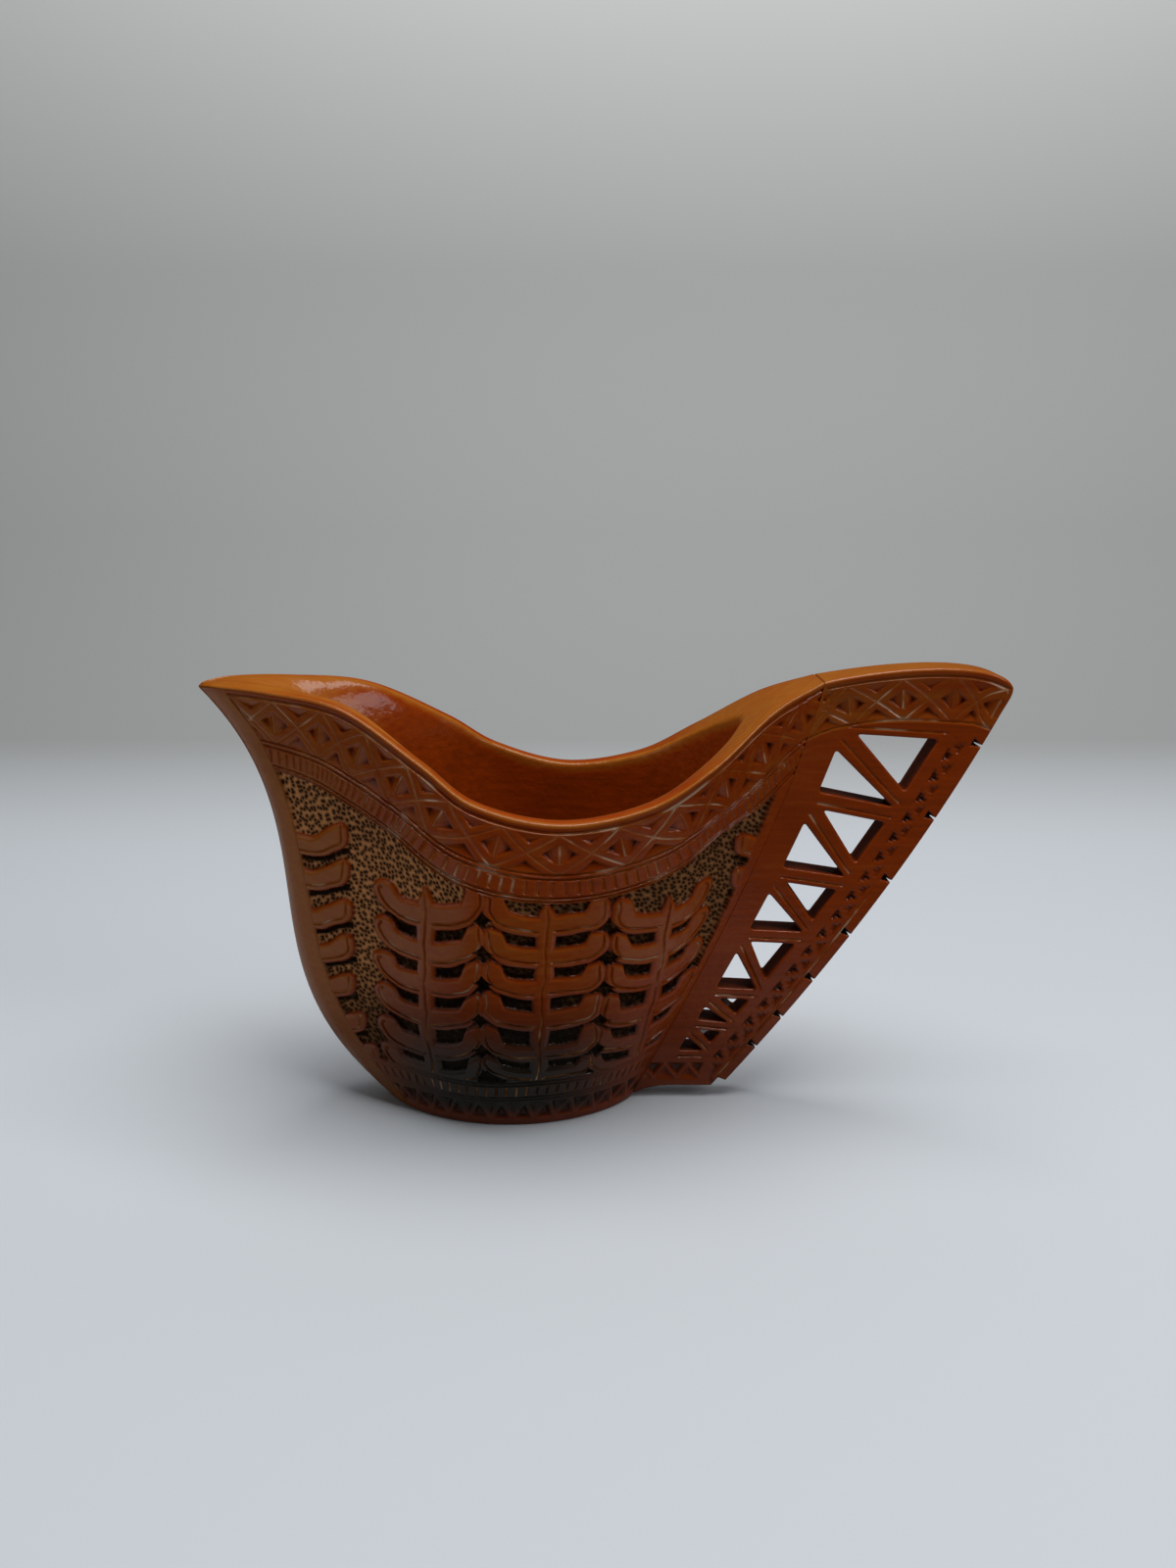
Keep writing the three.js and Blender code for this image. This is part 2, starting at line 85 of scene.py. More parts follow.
# Smooth line through points, at places from 0 at the spout to 1 at the stern. It starts one point
# before the spout, mirrored, so that its nose is round.
def smooth_line(points, places):
    mirrored = points[1] * np.array([1, -1, 1])[:points.shape[1]]
    run = np.vstack([mirrored, points, 2 * points[-1] - points[-2]])
    at = places * (len(points) - 1)
    start = np.minimum(at.astype(int), len(points) - 2)
    f = (at - start)[..., None]
    a, b, c, d = (run[start + k] for k in range(4))
    return b + 0.5 * f * (c - a + f * (2 * a - 5 * b + 4 * c - d + f * (3 * (b - c) + d - a)))


to_spout = rim_stations[:, 0] < 0
rim_points = np.stack([
    rim_stations[:, 0] * np.where(to_spout, spout_reach, stern_reach),
    rim_stations[:, 1] * rim_width / 2,
    mix(saddle_height, np.where(to_spout, spout_height, stern_height), rim_stations[:, 2]),
], axis=1)
mouth_points = np.stack([
    mouth_stations[:, 0] * np.where(to_spout, spout_reach - spout_lip, stern_reach - stern_ledge),
    mouth_stations[:, 1] * mouth_width / 2,
], axis=1)
rim_line = smooth_line(rim_points, np.linspace(0, 1, 700))


# Share of the way up a wall at height t: a cubic curve with two control values, each given at the
# spout, on the flank and at the stern.
def swell(controls, place, t):
    low, high = (mix(mix(a, b, place), mix(b, c, place), place) for a, b, c in controls)
    return 3 * (1 - t) ** 2 * t * low + 3 * (1 - t) * t ** 2 * high + t ** 3


# Oval with a flat at its stern end. A point above 1 draws its ends in.
def oval(length, width, point, stern_half, u):
    angle = u * (np.pi - np.arcsin((2 * stern_half / width) ** (1 / point)))
    return -length / 2 * np.cos(angle), width / 2 * np.sin(angle) ** point


# Outside of the hull: u runs from the keel under the spout to the stern, t from the foot to the rim.
def hull(u, t):
    foot_x, foot_y = oval(foot_length, foot_width, foot_point, board_thickness / 2, u)
    rim = smooth_line(rim_points, u)
    x = mix(foot_x, rim[..., 0], swell(hull_reach, u, t))
    y = mix(foot_y, rim[..., 1], swell(hull_belly, u, t))
    return np.stack([x, y, rim[..., 2] * t], axis=-1)


def sheer(x):
    return np.interp(x, rim_line[:, 0], rim_line[:, 2])


# Inside of the bowl: t runs from the floor to the mouth.
def cavity(u, t):
    floor_x, floor_y = oval(floor_length, floor_width, 1, gouge_width / 2, u)
    mouth = smooth_line(mouth_points, u)
    x = mix(floor_x, mouth[..., 0], swell(cavity_reach, u * u, t))
    y = mix(floor_y, mouth[..., 1], swell(cavity_belly, u * u, t))
    z = mix(floor_thickness, sheer(mouth[..., 0]), swell(cavity_rise, u * u, t))
    return np.stack([x, y, z], axis=-1)


# Distance run from the first point of a line, or of each line in a stack of them.
def run_along(points):
    return np.cumsum(np.linalg.norm(np.diff(points, axis=0, prepend=points[:1]), axis=-1), axis=0)


# Columns stand evenly along the rim and rows evenly up the flank, close enough for the knife cuts.
hull_columns = 600
hull_rows = 380
rim_run = run_along(rim_line)
column_places = np.linspace(0, rim_run[-1], hull_columns + 1)
u = np.interp(column_places, rim_run, np.linspace(0, 1, len(rim_run)))[None, :]
heights = np.linspace(0, 1, 400)[:, None]
climb = run_along(hull(u[:, ::20], heights)).mean(axis=1)
levels = np.interp(np.linspace(0, climb[-1], hull_rows + 1), climb, heights[:, 0])[:, None]

# The edges of rim and foot are rounded over: the rows of the hull stop short of them.
rim_round = 1.1
inner_round = 1.3
foot_round = 0.9
small = 0.001
top_speed = np.linalg.norm(hull(u, 1) - hull(u, 1 - small), axis=-1) / small
low_speed = np.linalg.norm(hull(u, small) - hull(u, 0), axis=-1) / small
t = mix(foot_round / low_speed, 1 - rim_round / top_speed, levels)
outside = hull(u, t)
facing = np.cross(np.gradient(outside, axis=0), np.gradient(outside, axis=1))
facing[:, 0, 1] = 0
facing /= np.linalg.norm(facing, axis=-1, keepdims=True)


# Sheer line
# The rim runs on over the top edge of the handle. The carved border below it follows this line, so
# places in the border are measured along it and down from it.
handle_reach = 132.4
handle_height = 117
joint_gap = 0.3
rail_width = 11.4
rail_end_width = 8.6
rail_rise = 3.8
rail_brow = 6
rail_span = handle_reach - stern_reach


# Point on a Bezier curve through its control points, for an array of places.
def bezier(controls, places):
    points = [np.asarray(c, float) + 0 * places[:, None] for c in controls]
    while len(points) > 1:
        points = [mix(a, b, places[:, None]) for a, b in zip(points, points[1:])]
    return points[0]


rail_share = np.linspace(0, 1, 240)
rail_top = bezier([
    [stern_reach + joint_gap, stern_height],
    [stern_reach + 0.37 * rail_span, stern_height + rail_rise],
    [stern_reach + 0.96 * rail_span, stern_height + rail_brow],
    [handle_reach, handle_height],
], rail_share)
rail_half = (
    rail_width + (stern_width - rail_width) * (1 - rail_share) ** 6
    + (rail_end_width - rail_width) * rail_share ** 4
) / 2
rail_line = np.stack([rail_top[:, 0], rail_half, rail_top[:, 1]], axis=1)[rail_share < 0.8]
straight_on = (rail_line[-1] - rail_line[-2]) / np.linalg.norm(rail_line[-1] - rail_line[-2])
rail_line = np.vstack([rail_line, rail_line[-1] + straight_on * np.linspace(0.2, 24, 90)[:, None]])
sheer_line = np.vstack([rim_line, rail_line])
sheer_run = run_along(sheer_line)


# For each point, the number of the nearest point of a line, searched a block at a time.
def nearest_on(line, points):
    block = 4000
    found = np.empty(len(points), int)
    for first in range(0, len(points), block):
        part = points[first:first + block]
        square = (part ** 2).sum(1)[:, None] + (line ** 2).sum(1) - 2 * part @ line.T
        found[first:first + block] = square.argmin(axis=1)
    return found


# For each point, its place along the sheer line and its distance below it.
def along_and_below(points):
    flat = points.reshape(-1, 3)
    near = np.clip(nearest_on(sheer_line, flat), 1, len(sheer_line) - 2)
    a = sheer_line[near - 1]
    step = sheer_line[near + 1] - a
    share = np.clip(((flat - a) * step).sum(1) / (step ** 2).sum(1), 0, 1)
    along = mix(sheer_run[near - 1], sheer_run[near + 1], share)
    below = np.linalg.norm(flat - a - step * share[:, None], axis=1)
    return along.reshape(points.shape[:-1]), below.reshape(points.shape[:-1])


# Knife cuts
# All carving is cut into the finished form with a short knife: V grooves, three-faced chips, and a
# ground that is sunk about a millimetre and punched. A cut is given as its depth below the surface.
def ease(x, low, high):
    share = np.clip((x - low) / (high - low), 0, 1)
    return share * share * (3 - 2 * share)


def groove(off, width, depth):
    return depth * ease(1 - np.abs(off) / (width / 2), 0, 1)


# Grooves side by side, at several places.
def grooves(off, places, width, depth):
    return np.max([groove(off - place, width, depth) for place in places], axis=0)


# In a row of even steps, the distance from the middle of the nearest step.
def off_middle(run, pitch):
    return (run / pitch - np.floor(run / pitch) - 0.5) * pitch


# Zigzag of chips in a strip: how far inside the chips of its far side and of its near side.
def zigzag(run, off, far, near, pitch, gap, slope, growth):
    tooth = np.abs(off_middle(run, pitch))
    far_chip = np.minimum(far - off, (off - near - gap) * slope - tooth + growth)
    near_chip = np.minimum(off - near, (far - gap - off) * slope - (pitch / 2 - tooth) + growth)
    return far_chip, near_chip


# Smooth hill of height 1. A higher power gives it a flatter top and steeper sides.
def hill(place, centre, width, power=2):
    return np.exp(-((place - centre) / width) ** power)


# Border along the sheer: a groove under the lip, crossed bars with chips between them, a pair of
# grooves, a ladder of short ticks and another pair of grooves.
lip_depth = 2.0
chip_steep = 2.2
chip_gentle = 0.38
chip_depth = 1.2
bar_share = 0.42
low_bar_share = 0.34
pair_places = (0, 1.3, 6.3, 7.3)
pair_width = 0.95
pair_depth = 0.48
tick_pitch = 2.35
tick_width = 0.9
tick_depth = 0.3
first_crossing = 36
crossing_step = 14.36
crossing_numbers = np.linspace(-3, 18, 500)
crossing_places = first_crossing + crossing_step * crossing_numbers - 2.8 * hill(crossing_numbers, 7, 3)
crossing_pitch = np.gradient(crossing_places, crossing_numbers)


# The bars reach lower under the spout, before the handle and on its rail.
def band_bottom(along):
    return 13.2 + 2.5 * hill(along, 55, 22) + 4.6 * hill(along, 163, 17) + 1.2 * hill(along, 230, 15)


# Fine lines are thinner than the mesh can hold, so the finish draws them from the distance to the
# nearest one. Where none is near, the distance is this.
no_line = 9.0


# Takes in one more line, where it is there.
def nearer(line, off, there):
    return np.where(there & (np.abs(off) < np.abs(line)), off, line)


def crossed_bars(along, below):
    bottom = band_bottom(along)
    half_height = (bottom - lip_depth - 0.6) / 2
    down = below - bottom + half_height
    pitch = np.interp(along, crossing_places, crossing_pitch)
    number = np.interp(along, crossing_places, crossing_numbers)
    across = (number - np.round(number)) * pitch
    slope = np.hypot(pitch / 2, half_height)
    rising = (across * half_height - down * pitch / 2) / slope
    falling = (across * half_height + down * pitch / 2) / slope
    room = pitch / 2 * half_height / slope
    sides = np.maximum(np.minimum(rising, falling), np.minimum(-rising, -falling)) - bar_share * room
    over = np.minimum(rising, -falling) - bar_share * room
    under = np.minimum(-rising, falling) - low_bar_share * room
    cut = np.max([
        np.minimum(chip_steep * sides, chip_gentle * (pitch / 2 - np.abs(across) - 0.2)),
        np.minimum(chip_steep * over, chip_gentle * (down + half_height - 0.4)),
        np.minimum(chip_steep * under, chip_gentle * (half_height - down - 0.2)),
    ], axis=0)
    cut = np.clip(cut, 0, chip_depth)
    inside = ease(half_height - np.abs(down), 0, 0.4)
    line = np.where(np.abs(rising) < np.abs(falling), rising, falling)
    line = nearer(line, pitch / 2 - np.abs(across), np.abs(down) < 0.5 * half_height)
    line = np.where(np.abs(down) < half_height - 0.3, line, no_line)
    return inside * cut, inside * ease(cut, 0.5, 1.1), line


def ladder(along, below):
    under = below - band_bottom(along)
    tick = off_middle(along, tick_pitch)
    reach = ease(under, 1.7, 2.1) * (1 - ease(under, 5.3, 5.8))
    pairs = grooves(under, pair_places, pair_width, pair_depth)
    cut = np.maximum(pairs, reach * groove(tick, tick_width, tick_depth))
    return cut, np.where(reach > 0.5, tick, no_line)


along, below = along_and_below(outside)
bottom = band_bottom(along)
bars, bars_dark, line = crossed_bars(along, below)
rungs, rung_line = ladder(along, below)
border = np.max([bars, rungs, groove(below - lip_depth, 1.1, 0.6)], axis=0)
panel = ease(below - bottom, 7.7, 8.1)
for off in [below - bottom - place for place in pair_places] + [rung_line, below - lip_depth - 0.5]:
    line = nearer(line, off, True)

# Keel strip: a smooth band down the front of the spout, with a bevel and a groove along its edge.
keel_half = 13.4
keel_bevel = 5.5
from_keel = run_along(outside.swapaxes(0, 1)).T
off_keel = from_keel - keel_half
behind_keel = ease(off_keel, 0.0, 0.4)
bevel = np.clip(1 + off_keel / keel_bevel, 0, 1) * (1 - behind_keel) * ease(below, 4, 16)
line = np.where(off_keel > 0.5, line, no_line)
line = nearer(line, off_keel, below > 3)

# Border round the foot: two pairs of grooves with ticks between them, and a row of chips.
foot_row = 40
foot_pairs = (15.5, 14.5, 10.3, 9.3)
foot_tick_pitch = 2.6
foot_tick_low = 10.7
foot_tick_top = 14
foot_run = from_keel[foot_row:foot_row + 1]
x = outside[..., 0]
z = outside[..., 2]
foot_tick = off_middle(foot_run, foot_tick_pitch)
foot_reach = ease(z - foot_tick_low, 0, 0.4) * ease(foot_tick_top - z, 0, 0.4)
foot_ticks = groove(foot_tick, 0.9, 0.35) * foot_reach
foot_chips = np.maximum(*zigzag(
    foot_run, z, far=8.4, near=2.2, pitch=6.5, gap=1.2, slope=0.55, growth=0.3))
foot_border = np.maximum(grooves(z, foot_pairs, 0.8, 0.4), foot_ticks)
foot_border = np.maximum(foot_border, np.clip(foot_chips, 0, 1.3) * 0.8)
above_foot = ease(z, 15.6, 16.0)
line = nearer(line, foot_tick, (z > foot_tick_low) & (z < foot_tick_top) & (off_keel > 0.5))

# Panels: three stems stand in the sunk ground of each flank, crossed by rows of swags whose arms
# curl up to meet their neighbours. Half swags grow from the keel strip and from the stern.
ground_depth = 1.2
stem_half = 2.5
band_growth = 0.8
edge_line_in = 1.8
half_swag_line_in = 1.7
half_swag_length = 26
arm_end_radius = 4.8
arm_top_radius = 3.1
finger_reach = 15.1
stems = [
    {
        "line": [[16, -20], [30, -21], [48, -20.3], [68, -19]],
        "swags": [[67.5, 61.5], [57, 51], [46.5, 41.5], [37, 31.5], [26, 21.5], [17, 13.5]],
        "reach": (15.6, 15.7), "rise": (0, 5.8), "fingers": (1, 0),
    },
    {
        "line": [[16.5, 8], [20, 8.5], [33, 9.3], [45, 10], [55, 11], [68, 11.5]],
        "swags": [[65, 60.5], [56, 51.5], [47, 42.5], [37.5, 32.5], [26.5, 22.5], [19, 15.5]],
        "reach": (16.0, 16.0), "rise": (5.5, 1.5), "fingers": (0, 0),
    },
    {
        "line": [[20, 35.5], [28, 37.5], [37, 39.3], [45, 40.5], [55, 41.5], [66, 42.5]],
        "swags": [[62.5, 58], [53.5, 48.8], [44, 39.8], [34, 29], [24.5, 20.5], [16.5, 13.5]],
        "reach": (14.9, 12.8), "rise": (3.9, 3.0), "fingers": (0, 1),
    },
]
wander_x = x + 0.2 * np.sin(0.43 * z + 0.21 * x) + 0.07 * np.sin(1.1 * z - 0.4 * x + 1)
wander_z = z + 0.2 * np.sin(0.37 * x + 0.23 * z + 2) + 0.07 * np.sin(0.9 * x + 0.5 * z)
sunk = np.full(x.shape, ground_depth)
windows_and_painted_shadow = np.zeros(x.shape)
tongue = np.zeros(x.shape)
panel_line = np.full(x.shape, no_line)


# Depth of a raised form with a softly rounded edge, from the distance inside its outline.
def standing_proud(inside):
    return ground_depth * (1 - ease(inside, -0.3, 0.05)) + 0.45 * (1 - ease(inside, 0.0, 1.3))


# Distance inside a form whose sides meet in a round corner, from the distances inside both sides.
def inside_corner(first, second, radius):
    bend = np.hypot(np.clip(radius - first, 0, None), np.clip(radius - second, 0, None))
    return np.where(bend > 0, radius - bend, np.minimum(first, second))


# Signed distance from a curve that rises outwards, positive on its lower and outer side.
def beside_curve(run, up, curve):
    gap = np.full(run.shape, 99.0)
    for start, end in zip(curve, curve[1:]):
        step = end - start
        share = np.clip(((run - start[0]) * step[0] + (up - start[1]) * step[1]) / (step @ step), 0, 1)
        off_x = run - start[0] - share * step[0]
        off_z = up - start[1] - share * step[1]
        far = np.hypot(off_x, off_z)
        gap = np.where(far < np.abs(gap), np.where(off_x * step[1] > off_z * step[0], far, -far), gap)
    return gap


finger_curve = np.array([[0, 0], [4, 0], [6.8, 0.3], [8.8, 1.1], [10.3, 2.3], [11.1, 3.8], [11.3, 4.4]])
for stem in stems:
    stem_z, stem_x = np.array(stem["line"]).T
    off = wander_x - np.interp(z, stem_z, stem_x)
    reach = np.where(off < 0, *stem["reach"])
    share = np.abs(off) / reach
    to_end = reach - np.abs(off)
    rise = np.where(off < 0, *stem["rise"]) * np.clip(share, 0, 0.86) ** 2.2
    finger = np.where(off < 0, *stem["fingers"])
    top, foot = np.array(stem["swags"]).T
    ceilings = np.append(top[0] + 4.5, foot[:-1] - band_growth)
    for upper, lower, ceiling in zip(top, foot, ceilings):
        lobe_top = ceiling - 0.2
        from_lower = wander_z - rise - lower + band_growth
        from_upper = mix(upper + band_growth, lobe_top, ease(share, 0.58, 0.7)) - wander_z + rise
        foot_side = inside_corner(to_end, from_lower, arm_end_radius)
        inside = np.minimum(inside_corner(to_end, from_upper, arm_top_radius), foot_side)
        over_middle = wander_z - rise - (upper + lower) / 2
        off_finger = beside_curve(np.abs(off) * finger_reach / reach, over_middle, finger_curve)
        finger_half = mix(3.6, 3.25, ease(share, 0.2, 0.7))
        inside = np.where(finger > 0, finger_half - np.abs(off_finger), inside)
        foot_side = np.where(finger > 0, finger_half - off_finger, foot_side)
        lines = groove(foot_side - edge_line_in, 1.1, 0.45) * (inside > 0.7)
        sunk = np.minimum(sunk, np.maximum(standing_proud(inside), lines))
        panel_line = nearer(panel_line, foot_side - edge_line_in, inside > 0.7)
    spear = stem_half * (1 - 0.75 * ease(z - top[0], 0, 5))
    stem_inside = np.minimum(spear - np.abs(off), top[0] + 5 - z)
    stem_line = groove(off, 0.8, 0.35)
    stem_depth = np.maximum(standing_proud(stem_inside), stem_line)
    sunk = np.where(stem_inside > -0.3, np.minimum(sunk, stem_depth), sunk)
    sunk = np.where(stem_inside > 0, np.maximum(sunk, stem_line), sunk)
    panel_line = np.where((np.abs(off) < 1.2) & (stem_inside > 0), off, panel_line)
    windows_and_painted_shadow = np.maximum(windows_and_painted_shadow, (1 - ease(share, 0.68, 0.78)) * (z < (top[0] + foot[0]) / 2))

# Half swags at the front and at the back, given by their tips.
front_tips = [[-40, 85], [-40.5, 75], [-40.5, 64], [-40.5, 53.5], [-41, 42], [-39, 30], [-36, 20]]
back_tips = [[60.5, 80], [60, 70], [59.5, 60], [58, 50], [55.5, 40], [52, 31], [47.5, 22]]
for tip_x, tip_z, toward in [(*tip, -1) for tip in front_tips] + [(*tip, 1) for tip in back_tips]:
    run = (wander_x - tip_x) * toward
    up = wander_z - tip_z + 3.2 + 4.4 * ease(run, 0, 12)
    half = 3.7 - 0.7 * ease(run, 3, 12)
    foot_side = inside_corner(run, half + up, 3.2)
    inside = np.minimum(inside_corner(run, half - up, 2.2), foot_side)
    inside = np.where(run < half_swag_length, inside, -9)
    lines = groove(foot_side - half_swag_line_in, 1.0, 0.35) * (inside > 0.6)
    sunk = np.minimum(sunk, np.maximum(standing_proud(inside), lines))
    panel_line = nearer(panel_line, foot_side - half_swag_line_in, inside > 0.6)
    # Painted shadow: a dark band is laid on the ground just under each half swag.
    under = ease(-up - half, -0.4, 0) * (1 - ease(-up - half, 1.2, 2.2))
    windows_and_painted_shadow = np.maximum(windows_and_painted_shadow, (run > 0.3) * (run < half_swag_length) * under)
    tongue = np.maximum(tongue, (toward < 0) * ease(inside, 0, 0.6))

# Star-shaped pits where four arms meet.
pits = [
    [-4.5, 65], [-5, 56], [-5, 47], [-6.3, 36], [-6.3, 26], [-6, 17],
    [27.5, 61], [27.5, 52], [26, 43], [25, 33], [24, 23.5], [21.5, 15.3],
]
pit = np.max([
    3.6 - (np.sqrt(np.abs(wander_x - pit_x)) + np.sqrt(np.abs(wander_z - pit_z))) ** 2 * 0.62
    - 0.38 * np.hypot(wander_x - pit_x, wander_z - pit_z) for pit_x, pit_z in pits], axis=0)
sunk = np.maximum(sunk, 1.4 * ease(pit, 0, 1.2))
stern_side = 1 - ease(u, 0.965, 0.975)
panel = panel * behind_keel * above_foot * stern_side

# Depth of all cuts together, and how dark the wood is: stain that has stayed in the cuts, with painted
# shade deepening the chips and creases, and painted light paling the camera-left side.
cut = np.max([
    panel * sunk,
    behind_keel * border * (1 - ease(below - bottom, 7.6, 7.9)),
    behind_keel * stern_side * foot_border * (1 - above_foot),
    groove(off_keel, 0.9, 0.4) * ease(below, 2, 4) * ease(z, 1.5, 3),
    0.6 * bevel * ease(z, 2, 8),
], axis=0)
ground = panel * ease(sunk, 0.75, 1.1)
# Nearly black: the windows, the star pits, the low middle ground and the painted shadows under swags.
between = ease(x, -33, -30) * (1 - ease(x, 50, 53)) * (1 - ease(z, 60, 62))
windows_and_painted_shadow = np.max([windows_and_painted_shadow, pit > 0, between], axis=0)
stain_and_shade = 0.14 + 0.28 * ease(below, 0.3, 1.2) - (0.15 + 0.05 * bevel) * (1 - behind_keel)
# Painted light: the camera-left side is made paler, as if a lamp lit it from the left.
stain_and_shade -= 0.14 * ease(-x, 5, 50) * ease(below, 1, 3)
stain_and_shade += 0.26 * behind_keel * (1 - panel) * ease(rungs, 0.25, 0.48)
# The deep chips of the border darken: stain in the cuts, with painted shade laid over it.
stain_and_shade += 0.52 * behind_keel * bars_dark * (1 - panel)
# Sunk ground and edges of raised forms darken: stain in the cuts, with painted shade in the creases.
stain_and_shade += panel * (0.42 * ease(sunk, 0.15, 0.6) - 0.1 * ease(z, 32, 55) - 0.06 * tongue)
tan_stain = 0.15 + 0.48 * ease(x, -15, 42) + 0.5 * ease(48 - z, 0, 25) + 0.3 * hill(x, 11, 14, 4)
stain_and_shade = mix(stain_and_shade, mix(tan_stain, 0.97, windows_and_painted_shadow), ground)
stain_and_shade = np.maximum(stain_and_shade, 0.8 * behind_keel * (1 - above_foot) * ease(foot_chips, 0.2, 0.9))
# The colour darkens towards the foot, most under the middle of the flank, a little less at its edge.
darkening = ease(51 - z, 0, 34) * hill(x, -2, 36, 4)
darkening = np.maximum(darkening, 0.35 * ease(40 - z, 0, 30)) * (1 - 0.55 * ease(7 - z, 0, 5))
line = np.where(panel > 0.5, np.where(ground < 0.5, panel_line, no_line), line)
line = np.where(stern_side > 0.5, line, no_line)
outside = outside - facing * cut[..., None]

# Rounded rim, land and inside. Each set of rows follows the last, over the rim and down to the floor.
rim = hull(u, 1)[0]
mouth = cavity(u, 1)[0]
land = np.linalg.norm(mouth - rim, axis=-1, keepdims=True)
inner_speed = np.linalg.norm(mouth - cavity(u, 1 - small)[0], axis=-1)[None, :] / small
inner_levels = np.linspace(1, 0, 110)[:, None] ** 1.2
inside_t = inner_levels * (1 - np.minimum(inner_round / inner_speed, 0.1))
inside_wall = cavity(u, inside_t)
round_share = np.linspace(0, 1, 9)[1:, None, None]
outer_end = mix(rim, mouth, np.minimum(rim_round / land, 0.45))
inner_end = mix(mouth, rim, np.minimum(inner_round / land, 0.4))


def rounded(start, corner, end):
    return mix(mix(start, corner, round_share), mix(corner, end, round_share), round_share)


land_share = np.linspace(0, 1, 8)[1:, None, None]
land_rows = mix(outer_end, inner_end, land_share)
land_rows[..., 2] = sheer(land_rows[..., 0]) + 0.25 * np.sin(np.pi * land_share[..., 0])
outer_end[:, 2] = sheer(outer_end[:, 0])
inner_end[:, 2] = sheer(inner_end[:, 0])
land_rows[-1] = inner_end
rim_rows = rounded(outside[-1], rim, outer_end)
mouth_rows = rounded(inner_end, mouth, inside_wall[0])
floor_shrink = np.array([0.94, 0.85, 0.7, 0.5, 0.3, 0.1])[:, None, None]
floor_rows = inside_wall[-1] * np.where(np.arange(3) < 2, floor_shrink, 1)
foot_edge = hull(u, 0)[0]
foot_in = foot_edge * np.array([1 - 2 * foot_round / foot_length, 1 - 2 * foot_round / foot_width, 1])
foot_rows = rounded(foot_in, foot_edge, outside[0])[:-1]
sole_shrink = np.array([0.1, 0.4, 0.7, 0.9, 1])[:, None, None]
sole_rows = foot_in * np.where(np.arange(3) < 2, sole_shrink, 1)
half_bowl = np.concatenate([
    sole_rows, foot_rows, outside, rim_rows, land_rows, mouth_rows[:-1], inside_wall, floor_rows])
before = len(sole_rows) + len(foot_rows)
after = len(half_bowl) - before - len(outside)


# A value of the outside, given for all rows of the half bowl.
def all_rows(values, first, last):
    width = values.shape[1]
    return np.concatenate([np.full((before, width), first), values, np.full((after, width), last)])


# The other flank mirrors this one, and a narrow strip closes the stern between them.
strip_share = np.linspace(0, 1, 17)[None, 1:-1]


def both_flanks(half, flip):
    other = half * flip
    strip = mix(half[:, -1:], other[:, -1:], strip_share.reshape(1, -1, *[1] * (half.ndim - 2)))
    return np.concatenate([half, strip, other[:, :0:-1]], axis=1)


# The lip and the pouring channel are left golden, and the inside darkens away from the spout.
stain_and_shade_rows = all_rows(stain_and_shade, 0.42, 0.14)
inner_first = len(half_bowl) - len(floor_rows) - len(inside_wall) - len(mouth_rows) + 1
land_first = before + len(outside) + len(rim_rows)
stain_and_shade_rows[land_first:inner_first] = 0.09 + 0.3 * ease(u, 0.14, 0.36) * (1 - ease(u, 0.74, 0.9))
inner_rows = half_bowl[inner_first:]
drop = mouth[None, :, 2] - inner_rows[..., 2]
stain_and_shade_rows[inner_first:] = 0.09 + 0.43 * ease(drop, 0, 5) * ease(u, 0.08, 0.3)

bowl_grid = both_flanks(half_bowl, np.array([1, -1, 1]))
rows, ring = bowl_grid.shape[:2]
corner = np.arange((rows - 1) * ring).reshape(rows - 1, ring)
beside = np.roll(corner, -1, axis=1)
bowl_quads = np.stack([corner, corner + ring, beside + ring, beside], axis=-1).reshape(-1, 4)
top = (rows - 1) * ring
sole_centre = rows * ring
floor_centre = sole_centre + 1
first = np.arange(ring)
second = np.roll(first, -1)
bowl_triangles = np.concatenate([
    np.stack([first, second, np.full(ring, sole_centre)], axis=1),
    np.stack([top + second, top + first, np.full(ring, floor_centre)], axis=1),
])
ends = np.array([[0, 0, 0], [0, 0, floor_thickness]])
bowl_points = np.vstack([bowl_grid.reshape(-1, 3), ends])
bowl_values = {
    name: np.append(both_flanks(values, 1).reshape(-1), [0, 0])
    for name, values in {
        "stain_and_shade": stain_and_shade_rows,
        "ground": all_rows(ground, 0.0, 0.0),
        "darkening": all_rows(darkening, 0.3, 0.0),
        "line": all_rows(line, no_line, no_line),
        "near": all_rows((np.abs(line) < 0.6) * 1.0, 0.0, 0.0),
    }.items()
}

# Places on the flank laid out flat, in millimetres, for the punched ground.
laid_x = all_rows(from_keel, 0.0, 0.0)
laid_z = all_rows(run_along(hull(u, t)), 0.0, 0.0)
laid = both_flanks(np.stack([laid_x, laid_z, 0 * laid_x], axis=-1), 1).reshape(-1, 3)
bowl_values["laid"] = np.vstack([laid, np.zeros((2, 3))])


millimetre = 0.001


